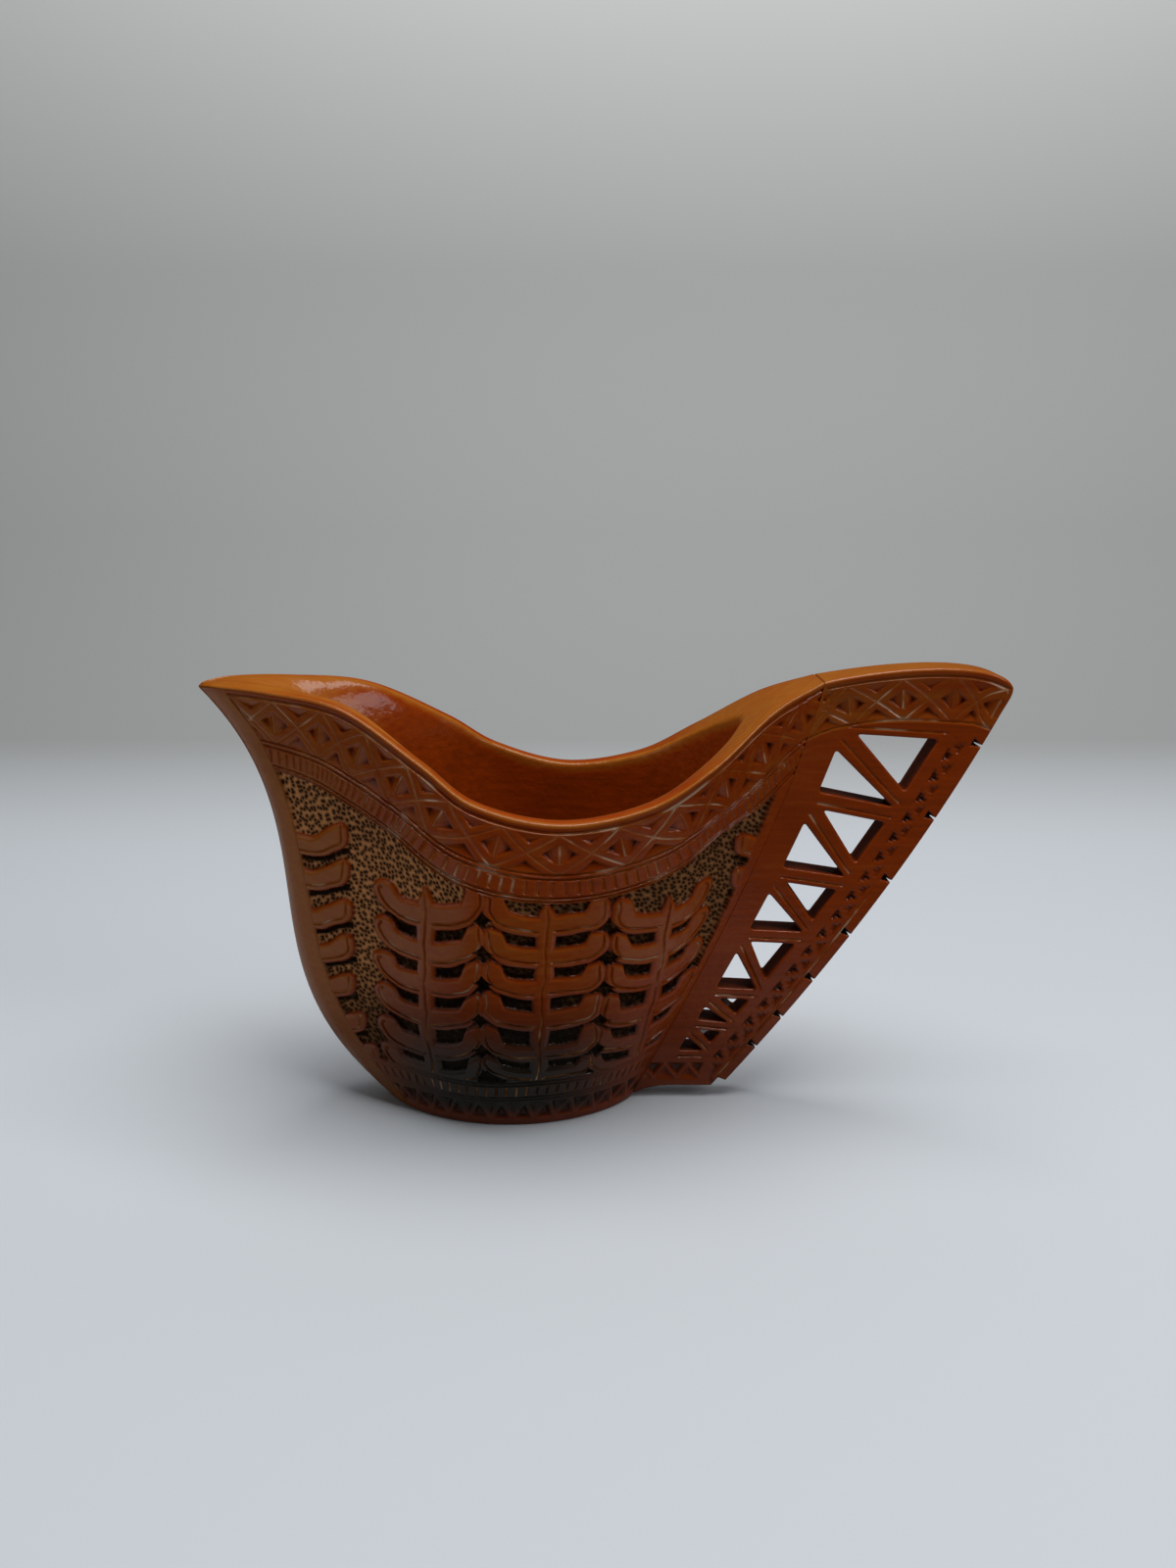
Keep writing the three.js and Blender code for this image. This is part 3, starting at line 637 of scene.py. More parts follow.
# Mesh object from points in millimetres, faces, and the values that its finish reads.
def piece(name, points, face_sets, values):
    corners = np.concatenate([faces.reshape(-1) for faces in face_sets])
    sizes = np.concatenate([np.full(len(faces), faces.shape[1]) for faces in face_sets])
    mesh = bpy.data.meshes.new(name)
    mesh.vertices.add(len(points))
    mesh.vertices.foreach_set("co", (points * millimetre).astype(np.float32).reshape(-1))
    mesh.loops.add(len(corners))
    mesh.loops.foreach_set("vertex_index", corners.astype(np.int32))
    mesh.polygons.add(len(sizes))
    mesh.polygons.foreach_set("loop_start", (np.cumsum(sizes) - sizes).astype(np.int32))
    mesh.polygons.foreach_set("use_smooth", np.ones(len(sizes), bool))
    for value, numbers in values.items():
        flat = numbers.ndim == 1
        layer = mesh.attributes.new(value, "FLOAT" if flat else "FLOAT_VECTOR", "POINT")
        layer.data.foreach_set("value" if flat else "vector", numbers.astype(np.float32).reshape(-1))
    mesh.update(calc_edges=True)
    made = bpy.data.objects.new(name, mesh)
    bpy.context.collection.objects.link(made)
    return made


bowl = piece("Bowl", bowl_points, [bowl_quads, bowl_triangles], bowl_values)


# Linear colour from an sRGB hex value.
def colour(code):
    parts = [int(code[k:k + 2], 16) / 255 for k in (1, 3, 5)]
    return [*(c / 12.92 if c < 0.04045 else ((c + 0.055) / 1.055) ** 2.4 for c in parts), 1]


# Adds a shader node with its settings, sets or links its inputs, and gives one of its outputs.
def add(tree, kind, inputs, output=0, **settings):
    node = tree.nodes.new("ShaderNode" + kind)
    for name, value in settings.items():
        setattr(node, name, value)
    for socket, value in inputs.items():
        if isinstance(value, bpy.types.NodeSocket):
            tree.links.new(value, node.inputs[socket])
        else:
            node.inputs[socket].default_value = value
    return node.outputs[output]


# Lacquered hardwood, stained in the carving: warm golden wood where it is scraped smooth, red brown
# on the carved outside, nearly black in the deep cuts (stain with painted shade), darker and greyer
# towards the foot, all under a clear glossy lacquer that glints on every edge. Patterns are in mm.
grain_length = 45.455
grain_width = 1.4286
cloud_size = 22.222
hole_pitch = 1.3514
line_patch = 9.0909
gloss_patch = 4.5455
scrape_width = 1.6667
relief_step = 0.08
wood = bpy.data.materials.new("Lacquered hardwood")
wood.use_nodes = True
tree = wood.node_tree
shader = tree.nodes["Principled BSDF"].inputs
place = add(tree, "TexCoord", {}, "Object")
stain_and_shade_value, ground_value, darkening_value, line_value, near_value = (
    add(tree, "Attribute", {}, "Fac", attribute_name=name)
    for name in ("stain_and_shade", "ground", "darkening", "line", "near"))

# Grain runs along the cup in long streaks, over soft clouds of stain.
grain_scale = [1 / (size * millimetre) for size in (grain_length, grain_width, grain_width)]
stretched = add(tree, "Mapping", {"Vector": place, "Scale": grain_scale})
grain = add(tree, "TexNoise", {"Vector": stretched, "Scale": 1.0, "Detail": 4.0})
cloudy = add(tree, "TexNoise", {"Vector": place, "Scale": 1 / (cloud_size * millimetre), "Detail": 2.0})
shifted = add(tree, "Math", {0: grain, 1: 0.4, 2: -0.35}, operation="MULTIPLY_ADD")
shifted = add(tree, "Math", {0: cloudy, 1: 0.3, 2: shifted}, operation="MULTIPLY_ADD")
toned = add(tree, "Math", {0: stain_and_shade_value, 1: shifted}, operation="ADD")
tone = add(tree, "ValToRGB", {"Fac": toned})
tones = tone.node.color_ramp.elements
tones[0].color = colour("#ac661f")
tones[1].color = colour("#0d0805")
tones.new(0.42).color = colour("#9c3c06")

# The punched ground is a net of dull tan wood round close-set holes, dark inside.
flat_place = add(tree, "Attribute", {}, "Vector", attribute_name="laid")
from_hole = add(tree, "TexVoronoi", {
    "Vector": flat_place, "Scale": 1 / hole_pitch, "Randomness": 0.9}, voronoi_dimensions="2D")
hole = add(tree, "MapRange", {0: from_hole, 1: 0.68, 2: 0.14})
tan = add(tree, "Mix", {0: toned, 6: colour("#f4a86c"), 7: colour("#120b07")}, 2, data_type="RGBA")
punched = add(tree, "Mix", {0: hole, 6: tan, 7: colour("#241006")}, 2, data_type="RGBA")
carved = add(tree, "Mix", {0: ground_value, 6: tone, 7: punched}, 2, data_type="RGBA")
# Towards the foot and on the walls of the handle's openings the colour darkens to a grey brown.
darkened = add(tree, "Mix", {0: darkening_value, 6: carved, 7: colour("#26221a")}, 2, data_type="RGBA")

# Fine knife lines cut through the stain and the darkening to the pale wood, some more than others;
# in patches they are painted near white as a painted glint of the lacquer.
off_line = add(tree, "Math", {0: line_value}, operation="ABSOLUTE")
sharp = add(tree, "MapRange", {0: off_line, 1: 0.4, 2: 0.0})
knife_line = add(tree, "Math", {0: sharp, 1: near_value}, operation="MULTIPLY")
uneven_line = add(tree, "TexNoise", {
    "Vector": place, "Scale": 1 / (line_patch * millimetre), "Detail": 2.0})
patchy = add(tree, "MapRange", {0: uneven_line, 1: 0.42, 2: 0.64, 3: 0.1, 4: 0.75})
bared_and_glinting = add(tree, "Math", {0: knife_line, 1: patchy}, operation="MULTIPLY")
# Painted glint: in patches the bared lines turn near white, as if the lacquer caught the light.
painted_glint = add(tree, "MapRange", {0: uneven_line, 1: 0.55, 2: 0.68})
bare_wood_and_glint = add(tree, "Mix", {0: painted_glint, 6: colour("#c8803a"), 7: colour("#f0d4b0")}, 2, data_type="RGBA")
lined = add(tree, "Mix", {0: bared_and_glinting, 6: darkened, 7: bare_wood_and_glint}, 2, data_type="RGBA")
tree.links.new(lined, shader["Base Color"])

# Knife marks and brush strokes leave the gloss a little uneven, and the punched ground is dull.
uneven = add(tree, "TexNoise", {"Vector": place, "Scale": 1 / (gloss_patch * millimetre), "Detail": 3.0})
rough = add(tree, "MapRange", {0: uneven, 3: 0.4, 4: 0.6})
rough = add(tree, "Math", {0: ground_value, 1: 0.25, 2: rough}, operation="MULTIPLY_ADD")
tree.links.new(rough, shader["Roughness"])
shader["Specular IOR Level"].default_value = 0.0
lacquer = add(tree, "MapRange", {0: ground_value, 3: 0.65, 4: 0.08})
tree.links.new(lacquer, shader["Coat Weight"])
shader["Coat Roughness"].default_value = 0.17
deep = add(tree, "Math", {0: hole, 1: ground_value}, operation="MULTIPLY")
scraped = add(tree, "TexNoise", {
    "Vector": place, "Scale": 1 / (scrape_width * millimetre), "Detail": 2.0})
relief = grain
for mark, height in ((deep, -16.0), (scraped, 3.0), (knife_line, -10.0)):
    relief = add(tree, "Math", {0: mark, 1: height, 2: relief}, operation="MULTIPLY_ADD")
surface = add(tree, "Bump", {"Height": relief, "Strength": 0.5, "Distance": relief_step * millimetre})
tree.links.new(surface, shader["Normal"])
tree.links.new(surface, shader["Coat Normal"])
bowl.data.materials.append(wood)
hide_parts("bowl")
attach(bowl, "root")


# Handle
# The handle is an openwork board sawn from the same wood: two stiles, a thick top rail that carries
# the rim on, and rungs with slanting bars between them. It is glued into the stern of the bowl.
toe_reach = 60.4
toe_height = 5
board_bottom = 3.6
edge_bow = 4.2
edge_bow_place = 0.46
rail_depth = 14
outer_stile = (14, 12.4)
inner_stile = (6.2, 9.6)
stern_rung = stern_height - 11.7
tip_rung = handle_height - 10.4
lowest_rung = board_bottom + 9.5
inner_places = np.array([0, 0.217, 0.436, 0.622, 0.801, 0.901, 1])
outer_places = np.array([0, 0.247, 0.454, 0.623, 0.803, 0.909, 1])
widest_bar = 5.2
narrowest_bar = 2.8
slant_head_share = 0.45
slant_foot_share = 0.85
bar_line_off = 0.14
notch_depth = 3
notch_half = 0.35
tip_points = 14
seam = 0.03
tip = np.array([handle_reach, handle_height])
toe = np.array([toe_reach, toe_height])
edge_across = np.array([tip[1] - toe[1], toe[0] - tip[0]]) / np.hypot(*(tip - toe))
edge_control = mix(tip, toe, edge_bow_place) + 2 * edge_bow * edge_across
edge_line = bezier([tip, edge_control, toe], np.linspace(0, 1, 700))
stern_heights = np.linspace(0, stern_height, 300)
stern_profile = hull(np.ones(300), stern_heights / stern_height)


def stern_at(height):
    return np.interp(height, stern_heights, stern_profile[:, 0])


def outer_at(height):
    return np.interp(height, edge_line[::-1, 1], edge_line[::-1, 0])


def inner_stile_at(height):
    up = (height - lowest_rung) / (stern_rung - lowest_rung)
    return np.array([stern_at(height) + mix(*inner_stile, up), height])


def outer_stile_at(height):
    up = (height - lowest_rung) / (tip_rung - lowest_rung)
    return np.array([outer_at(height) - mix(*outer_stile, up), height])


def unit(step):
    return step / np.hypot(*step)


def left_of(run):
    return np.array([-run[1], run[0]])


# Line through two points, moved to its left, as a point and a direction.
def moved_line(start, end, shift):
    run = unit(end - start)
    return start + shift * left_of(run), run


def crossing(first, second):
    start, run = first
    other, other_run = second
    step = np.linalg.solve(np.stack([run, -other_run], axis=1), other - start)[0]
    return start + run * step


# Outline with each corner cut back and rounded.
def eased_corners(corners, cut_back):
    points = []
    share = np.linspace(0, 1, 7)
    for before, corner, after in zip(np.roll(corners, 1, axis=0), corners, np.roll(corners, -1, axis=0)):
        back = corner + unit(before - corner) * cut_back
        ahead = corner + unit(after - corner) * cut_back
        points.extend(bezier([back, corner, ahead], share))
    return np.array(points)


rung_inner = mix(stern_rung, lowest_rung, inner_places)
rung_outer = mix(tip_rung, lowest_rung, outer_places)
rung_bar = mix(widest_bar, narrowest_bar, inner_places)
openings = []
bar_lines = [
    (inner_stile_at(inner), outer_stile_at(outer), bar)
    for inner, outer, bar in zip(rung_inner, rung_outer, rung_bar)]
for k in range(len(rung_bar) - 1):
    upper_inner, upper_outer, upper_bar = bar_lines[k]
    lower_inner, lower_outer, lower_bar = bar_lines[k + 1]
    slant_bar = (upper_bar + lower_bar) / 2
    slant_head = inner_stile_at(upper_inner[1] - slant_head_share * upper_bar)
    slant_neck = inner_stile_at(upper_inner[1] - slant_foot_share * upper_bar)
    slant_foot = outer_stile_at(lower_outer[1] + slant_foot_share * lower_bar)
    ceiling = moved_line(upper_inner, upper_outer, -upper_bar / 2)
    sill = moved_line(lower_inner, lower_outer, lower_bar / 2)
    inner_side = moved_line(lower_inner, upper_inner, 0)
    outer_side = moved_line(lower_outer, upper_outer, 0)
    slant_above = moved_line(slant_head, slant_foot, slant_bar / 2)
    slant_below = moved_line(slant_neck, slant_foot, -slant_bar / 2)
    hanging = [(ceiling, slant_above), (ceiling, outer_side), (outer_side, slant_above)]
    standing = [(inner_side, slant_below), (inner_side, sill), (sill, slant_below)]
    for sides in (hanging, standing):
        corners = np.array([crossing(a, b) for a, b in sides])
        openings.append(eased_corners(corners, mix(0.6, 1.2, upper_bar / widest_bar)))
    bar_lines.append(((slant_head + slant_neck) / 2, slant_foot, slant_bar))

# Outer edge with its V notches, closer together towards the toe.
notch_share = np.linspace(0, 1, 7)
notch_share = notch_share * (1 + 0.45 * (1 - notch_share))
notch_heights = mix(handle_height - 14.8, toe_height + 10.5, notch_share)
notches = []
for height in notch_heights:
    mouth_point = np.array([outer_at(height), height])
    run = unit(np.array([outer_at(height + 1) - mouth_point[0], 1]))
    root = mouth_point + notch_depth * left_of(run)
    notches.append([mouth_point + notch_half * run, root, mouth_point - notch_half * run])
edge_points = []
notch_number = 0
for point in edge_line[tip_points::4]:
    if notch_number < len(notches) and point[1] < notches[notch_number][0][1]:
        edge_points.extend(notches[notch_number])
        notch_number += 1
    elif not edge_points or point[1] < edge_points[-1][1] - 0.05:
        edge_points.append(point)
seat_heights = np.linspace(1.4, stern_height, 120)
seat = np.stack([stern_at(seat_heights) + seam, seat_heights], axis=1)
tip_round = bezier([rail_top[-tip_points], tip, edge_line[tip_points]], np.linspace(0, 1, 9))
heel = [seat[0][0] + 0.2, seat[0][1]]
bottom_curve = bezier([[46, board_bottom], [39.5, board_bottom], heel], np.linspace(0, 1, 12))
outline = np.vstack([
    seat, rail_top[1:-tip_points], tip_round, edge_points,
    [[toe_reach - 2, toe_height + 1], [toe_reach - 4, board_bottom]], bottom_curve[:-1],
])


# Distance from points to an outline, and whether they are inside it.
def to_outline(points, corners):
    nearest = np.full(len(points), 1e9)
    inside = np.zeros(len(points), bool)
    for a, b in zip(corners, np.roll(corners, -1, axis=0)):
        step = b - a
        length = step @ step
        if length == 0:
            continue
        share = np.clip((points - a) @ step / length, 0, 1)
        gap = points - a - share[:, None] * step
        nearest = np.minimum(nearest, gap[:, 0] ** 2 + gap[:, 1] ** 2)
        if a[1] != b[1]:
            spans = (a[1] > points[:, 1]) != (b[1] > points[:, 1])
            inside ^= spans & (points[:, 0] < a[0] + step[0] * (points[:, 1] - a[1]) / step[1])
    return np.sqrt(nearest), inside


# The board is laid out on a fine square grid. Grid points close to an outline are moved onto it, so
# that every opening, notch and edge is cut clean.
grid_step = 0.25
low_corner = outline.min(axis=0) - 2 * grid_step
count_x, count_z = np.ceil((outline.max(axis=0) + 2 * grid_step - low_corner) / grid_step).astype(int)
grid = low_corner + np.indices((count_x, count_z)).reshape(2, -1).T * grid_step


def depth_inside(points):
    from_edge, inside = to_outline(points, outline)
    from_edge = np.where(inside, from_edge, -from_edge)
    from_opening = np.full(len(points), 1e9)
    for corners in openings:
        box_low = corners.min(axis=0) - 6
        box_high = corners.max(axis=0) + 6
        near = np.all((points > box_low) & (points < box_high), axis=1)
        gap, inside = to_outline(points[near], corners)
        from_opening[near] = np.minimum(from_opening[near], np.where(inside, -gap, gap))
    return from_edge, from_opening


for turn in range(3):
    from_edge, from_opening = depth_inside(grid)
    depth = np.minimum(from_edge, from_opening)
    close = np.abs(depth) < 0.55 * grid_step if turn == 0 else close
    probe = 0.01
    tilt_x = np.minimum(*depth_inside(grid[close] + [probe, 0])) - depth[close]
    tilt_z = np.minimum(*depth_inside(grid[close] + [0, probe])) - depth[close]
    tilt = np.stack([tilt_x, tilt_z], axis=1) / probe
    tilt /= np.maximum(np.linalg.norm(tilt, axis=1, keepdims=True), 0.5)
    grid[close] -= tilt * depth[close][:, None]
from_edge, from_opening = depth_inside(grid)
depth = np.where(close, 0, np.minimum(from_edge, from_opening))

# Thickness of the board: even below, widening into the rail and into the stern of the bowl.
grid_x, grid_z = grid.T
rail_place = np.interp(grid_x, rail_top[:, 0], rail_share)
rail_drop = np.interp(grid_x, rail_top[:, 0], rail_top[:, 1]) - grid_z
flat_half = board_thickness / 2
rail_face = mix(np.interp(rail_place, rail_share, rail_half), flat_half - 0.5, rail_drop / rail_depth)
stern_half = np.interp(grid_z, stern_heights, stern_profile[:, 1])
from_stern = grid_x - stern_at(grid_z) - seam
stern_face = flat_half + (stern_half - flat_half) * np.exp(-np.clip(from_stern, 0, None) / 5)
half_thick = np.maximum(np.maximum(rail_face, stern_face), flat_half)
face_points = np.stack([grid_x, half_thick, grid_z], axis=1)
face_along = np.full(len(grid), -99.0)
face_below = np.full(len(grid), 99.0)
upper = (rail_drop < 24) & (depth >= 0)
face_along[upper], face_below[upper] = along_and_below(face_points[upper])

# Carving of the board: the border of the rim on the rail, one groove along each bar, and a zigzag
# of chips down the outer stile and along the bottom.
under_band = face_below - band_bottom(face_along)
on_rail = 1 - ease(under_band, 0.6, 0.9)
rail_bars, rail_dark, face_line = crossed_bars(face_along, face_below)
tip_side = ease(from_edge, 0.5, 1.2)
face_cut = on_rail * tip_side * np.maximum(rail_bars, groove(face_below - lip_depth, 0.9, 0.5))
face_cut = np.maximum(face_cut, groove(under_band, 0.9, 0.45))
face_stain_and_shade = 0.14 + (0.31 - 0.14 * on_rail) * ease(face_below, 0.3, 1.2)
# The deep chips of the border on the rail darken: stain in the cuts, with painted shade laid over it.
face_stain_and_shade += 0.52 * on_rail * tip_side * rail_dark
face_line = np.where(from_edge > 1.2, face_line, no_line)
for start, end, bar in bar_lines:
    length = np.hypot(*(end - start))
    run = unit(end - start)
    off = (grid - start) @ left_of(run)
    ahead = (grid - start) @ run
    on_bar = ease(ahead, -1, 2) * (1 - ease(ahead, length - 1, length + 2))
    face_cut = np.maximum(face_cut, on_bar * groove(off + bar_line_off * bar, 0.9, 0.35))
    face_line = nearer(face_line, off + bar_line_off * bar, on_bar > 0.5)

# Dark chips point in from one side of each zigzag, and paler leaf chips from the other.
stile_line_in = 3.0
board_chips = {"pitch": 6.6, "gap": 0.9, "slope": 0.75, "growth": 0}
edge_marks = edge_line[::5]
nearest = nearest_on(edge_marks, grid)
near_edge = np.linalg.norm(grid - edge_marks[nearest], axis=1)
edge_along = run_along(edge_line)[::5][nearest]
dark_chip, pale_chip = zigzag(edge_along - 19.6, near_edge, far=8.0, near=3.9, **board_chips)
on_stile = ease(edge_along, 17, 19) * (face_below > 18)
bottom_dark, bottom_pale = zigzag(grid_x - 43.1, grid_z, far=11.0, near=5.6, **board_chips)
on_bottom = (grid_z < 11.5) * ease(grid_x, 37, 39) * (near_edge > 8.5)
notch_chip = np.full(len(grid), -9.0)
for upper_lip, root, lower_lip in notches:
    axis = (root - (upper_lip + lower_lip) / 2) / notch_depth
    into = (grid - root) @ axis
    aside = np.abs((grid - root) @ left_of(axis))
    notch_chip = np.maximum(notch_chip, np.minimum(1.35 - aside + 0.35 * into, -into))
face_cut = np.max([
    face_cut,
    0.8 * on_stile * np.clip(np.maximum(dark_chip, 0.7 * pale_chip), 0, 1.1),
    0.8 * on_bottom * np.clip(np.maximum(bottom_dark, 0.7 * bottom_pale), 0, 1.1),
    on_stile * groove(near_edge - stile_line_in, 0.8, 0.3) * ease(75 - grid_z, 0, 30),
    1.5 * np.clip(notch_chip, 0, 1.2),
], axis=0)
# Chips are stained darker, and the notch cuts are painted black as painted shade.
face_stain_and_shade = np.max([
    face_stain_and_shade,
    on_stile * (0.45 + 0.44 * ease(dark_chip, 0.1, 0.9)),
    on_stile * (0.45 + 0.15 * ease(pale_chip, 0, 0.8)),
    on_bottom * (0.45 + 0.3 * ease(bottom_dark, 0.1, 0.9)),
    ease(notch_chip, 0, 0.3),
], axis=0)
face_stain_and_shade = np.where(face_below < 1.2, 0.14 + 0.25 * ease(face_below, 0.3, 1.2), face_stain_and_shade)
face_line = nearer(face_line, face_below - lip_depth - 0.5, from_edge > 1.2)
face_line = nearer(face_line, under_band, from_edge > 0.5)
face_line = nearer(face_line, near_edge - stile_line_in, (on_stile > 0.5) & (grid_z < 60))

# Edges are eased with the knife, and the lip of the rail is rounded like the rim.
edge_round = 0.5
open_depth = np.where(from_stern < 1.2, np.minimum(from_opening, edge_round), depth)
edge_off = np.clip(edge_round - open_depth, 0, edge_round)
eased = edge_round - np.sqrt(edge_round ** 2 - edge_off ** 2)
lip_off = np.clip(rim_round - np.clip(rail_drop, 0, None), 0, rim_round)
eased = np.maximum(eased, rim_round - np.sqrt(rim_round ** 2 - lip_off ** 2))
face_half = half_thick - np.maximum(eased, face_cut)

# Front and back faces from the grid squares, and walls round all their edges.
kept = (depth >= 0).reshape(count_x, count_z)
solid_point = (depth > 0).reshape(count_x, count_z)
number = np.arange(count_x * count_z).reshape(count_x, count_z)
square = np.stack([number[:-1, :-1], number[1:, :-1], number[1:, 1:], number[:-1, 1:]], axis=-1)
square = square.reshape(-1, 4)
square_kept = kept.reshape(-1)[square]
square_solid = solid_point.reshape(-1)[square].any(axis=1)
face_quads = square[square_kept.all(axis=1) & square_solid]
cut_corner = (square_kept.sum(axis=1) == 3) & square_solid
missing = square_kept[cut_corner].argmin(axis=1)
turned = (missing[:, None] + np.array([1, 2, 3])) % 4
face_triangles = np.take_along_axis(square[cut_corner], turned, axis=1)

sides = np.concatenate([
    np.stack([faces, np.roll(faces, -1, axis=1)], axis=-1).reshape(-1, 2)
    for faces in (face_quads, face_triangles)])
keys = np.minimum(sides[:, 0], sides[:, 1]) * number.size + np.maximum(sides[:, 0], sides[:, 1])
_, where_first, times = np.unique(keys, return_index=True, return_counts=True)
rim_sides = sides[where_first[times == 1]]
wall_set = 0.4
rim_numbers, rim_index = np.unique(rim_sides, return_inverse=True)
rim_index = rim_index.reshape(-1, 2)
used = np.unique(np.concatenate([face_quads.reshape(-1), face_triangles.reshape(-1)]))
place_of = np.full(number.size, -1)
place_of[used] = np.arange(len(used))
front = np.stack([grid_x, -face_half, grid_z], axis=1)[used]
back = front * [1, -1, 1]
wall_front = np.stack([grid_x, -face_half + wall_set, grid_z], axis=1)[rim_numbers]
wall_back = wall_front * [1, -1, 1]
board_points = np.vstack([front, back, wall_front, wall_back])
to_back = len(used)
to_wall = 2 * len(used)
to_far_wall = to_wall + len(rim_numbers)
near_a, near_b = place_of[rim_sides].T
wall_a, wall_b = rim_index.T + to_wall
far_a, far_b = rim_index.T + to_far_wall
wall_quads = np.concatenate([
    np.stack([near_b, near_a, wall_a, wall_b], axis=1),
    np.stack([wall_b, wall_a, far_a, far_b], axis=1),
    np.stack([far_b, far_a, to_back + near_a, to_back + near_b], axis=1),
])
board_quads = np.concatenate([place_of[face_quads], to_back + place_of[face_quads][:, ::-1], wall_quads])
board_triangles = np.concatenate([place_of[face_triangles], to_back + place_of[face_triangles][:, ::-1]])

# Walls are stained, darkened in the openings, painted black in the notches as painted shade, and
# golden along the rail top.
notch_near = np.min([np.hypot(*(grid[rim_numbers] - notch[1]).T) for notch in notches], axis=0)
in_opening = np.abs(from_opening[rim_numbers]) < 0.2
wall_stain_and_shade = np.where(in_opening, 0.5, 0.45)
# Painted shade: the walls of the notches are painted black.
wall_stain_and_shade = np.where(notch_near < 2.7, 1.0, wall_stain_and_shade)
wall_stain_and_shade = np.where(rail_drop[rim_numbers] < 1.5, 0.06, wall_stain_and_shade)
wall_darkening = 0.55 * in_opening
wall_line = np.full(2 * len(rim_numbers), no_line)
face_lines = np.concatenate([face_line[used], face_line[used], wall_line])
board_values = {
    "stain_and_shade": np.concatenate([face_stain_and_shade[used], face_stain_and_shade[used], wall_stain_and_shade, wall_stain_and_shade]),
    "ground": np.zeros(len(board_points)),
    "line": face_lines,
    "near": (np.abs(face_lines) < 0.6) * 1.0,
    "laid": np.zeros((len(board_points), 3)),
    # The handle darkens towards its foot, and the walls of its openings more.
    "darkening": np.maximum(0.4 * ease(60 - board_points[:, 2], 0, 60), np.concatenate([
        np.zeros(2 * len(used)), wall_darkening, wall_darkening])),
}
handle = piece("Handle", board_points, [board_quads, board_triangles], board_values)
handle.data.materials.append(wood)
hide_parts("handle")
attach(handle, "root")


# Floor and backdrop
# One sheet of pale matt board that lies under the cup and sweeps up behind it.
sweep_radius = 0.3
floor_front = -1.6
floor_back = 0.2
backdrop_top = 1.6
sheet_half = 2.0
turn = np.linspace(0, np.pi / 2, 25)
profile = np.concatenate([
    [[floor_front, 0.0]],
    np.stack([floor_back + sweep_radius * np.sin(turn), sweep_radius * (1 - np.cos(turn))], axis=1),
    [[floor_back + sweep_radius, backdrop_top]],
])
sheet_points = [(side * sheet_half, y, z) for side in (-1, 1) for y, z in profile]
half_count = len(profile)
sheet_faces = [(k, half_count + k, half_count + k + 1, k + 1) for k in range(half_count - 1)]
sheet_mesh = bpy.data.meshes.new("Floor and backdrop")
sheet_mesh.from_pydata(sheet_points, [], sheet_faces)
sheet_mesh.polygons.foreach_set("use_smooth", [True] * len(sheet_faces))
sheet = bpy.data.objects.new("Floor and backdrop", sheet_mesh)
bpy.context.collection.objects.link(sheet)

# The camera sees the board pale. It throws less light on the cup than that, and the lacquer mirrors
# it only beside the cup and round its foot.
board = bpy.data.materials.new("Pale matt board")
board.use_nodes = True
tree = board.node_tree
board_shader = tree.nodes["Principled BSDF"].inputs
rays = add(tree, "LightPath", {}).node.outputs
spot = add(tree, "TexCoord", {}, "Object")
off_centre = add(tree, "VectorMath", {0: spot, 1: (-0.09, 0, 0)}, "Value", operation="DISTANCE")
close_by = add(tree, "MapRange", {0: off_centre, 1: 0.26, 2: 0.19})
across_floor, _, height = add(tree, "SeparateXYZ", {"Vector": spot}).node.outputs
aside = add(tree, "Math", {0: across_floor}, operation="ABSOLUTE")
beside_cup = add(tree, "MapRange", {0: aside, 1: 0.04, 2: 0.085})
mirrored = add(tree, "Math", {0: close_by, 1: beside_cup}, operation="MULTIPLY")
from_foot = add(tree, "VectorMath", {0: spot, 1: (0.6, 1, 0)}, operation="MULTIPLY")
from_foot = add(tree, "VectorMath", {0: from_foot}, "Value", operation="LENGTH")
round_foot = add(tree, "MapRange", {0: from_foot, 1: 0.055, 2: 0.035})
mirrored = add(tree, "Math", {0: mirrored, 1: round_foot}, operation="MAXIMUM")
gloss = add(tree, "Mix", {0: mirrored, 6: colour("#141414"), 7: colour("#b4b6b8")}, 2, data_type="RGBA")
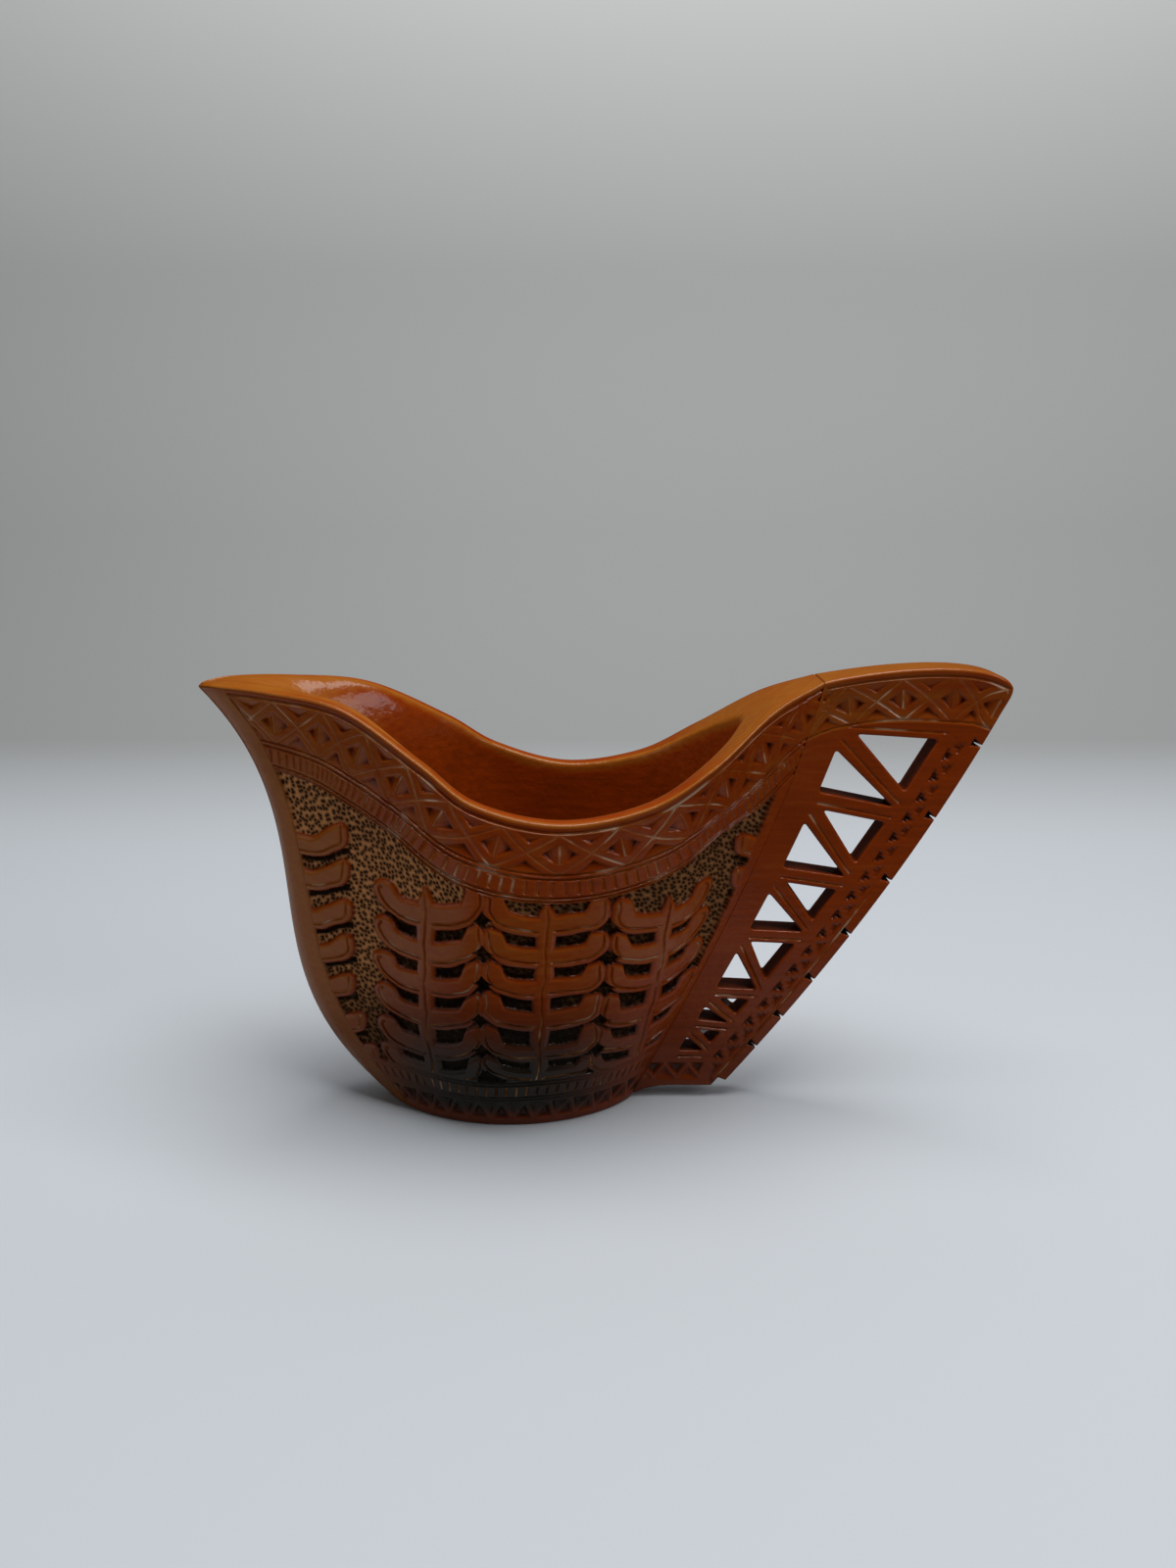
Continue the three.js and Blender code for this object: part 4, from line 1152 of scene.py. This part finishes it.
dim = add(tree, "Mix", {0: rays["Is Diffuse Ray"], 6: gloss, 7: colour("#a2a4a6")}, 2, data_type="RGBA")
pale = add(tree, "ValToRGB", {"Fac": height})
tones = pale.node.color_ramp.elements
tones[0].color = colour("#d6dce2")
tones[1].color = colour("#eef0ef")
tones[1].position = 0.6
tones.new(0.03).color = colour("#a9abab")
tones.new(0.14).color = colour("#b0b2b1")
shade = add(tree, "Mix", {0: rays["Is Camera Ray"], 6: dim, 7: pale}, 2, data_type="RGBA")
tree.links.new(shade, board_shader["Base Color"])
board_shader["Roughness"].default_value = 0.6
board_shader["Specular IOR Level"].default_value = 0.2
sheet_mesh.materials.append(board)


# Light
# One large soft box hangs above the cup, two smaller ones stand before it to the right and left, and
# the room gives a faint fill.
def soft_box(name, place, aim, size, power):
    lamp = bpy.data.lights.new(name, "AREA")
    lamp.shape = "RECTANGLE"
    lamp.size, lamp.size_y = size
    lamp.energy = power
    made = bpy.data.objects.new(name, lamp)
    made.location = place
    direction = Vector(place) - Vector(aim)
    made.rotation_euler = direction.to_track_quat("Z", "Y").to_euler()
    bpy.context.collection.objects.link(made)


soft_box("Ceiling soft box", (0.12, -0.06, 1.1), (0.02, 0, 0.05), (0.7, 0.9), 10.5)
soft_box("Side soft box", (0.8, -0.47, 0.64), (-0.02, 0, 0.09), (0.36, 0.36), 1.4)
soft_box("Left soft box", (-0.7, -0.35, 0.4), (-0.05, 0, 0.08), (0.5, 0.5), 0.35)
world = bpy.data.worlds.new("Room")
world.use_nodes = True
fill = world.node_tree.nodes["Background"].inputs
fill["Color"].default_value = colour("#ececec")
fill["Strength"].default_value = 0.02
bpy.context.scene.world = world
bpy.context.scene.view_settings.view_transform = "Standard"


# Camera
# It stands a forearm's length from the cup, a little above the rim, and looks slightly down.
lens = bpy.data.cameras.new("Camera")
lens.lens = 27.05
lens.sensor_width = 36
camera = bpy.data.objects.new("Camera", lens)
camera.location = (0.0215, -0.3066, 0.170)
camera.rotation_euler = (np.radians(75.56), 0, 0)
bpy.context.collection.objects.link(camera)
bpy.context.scene.camera = camera
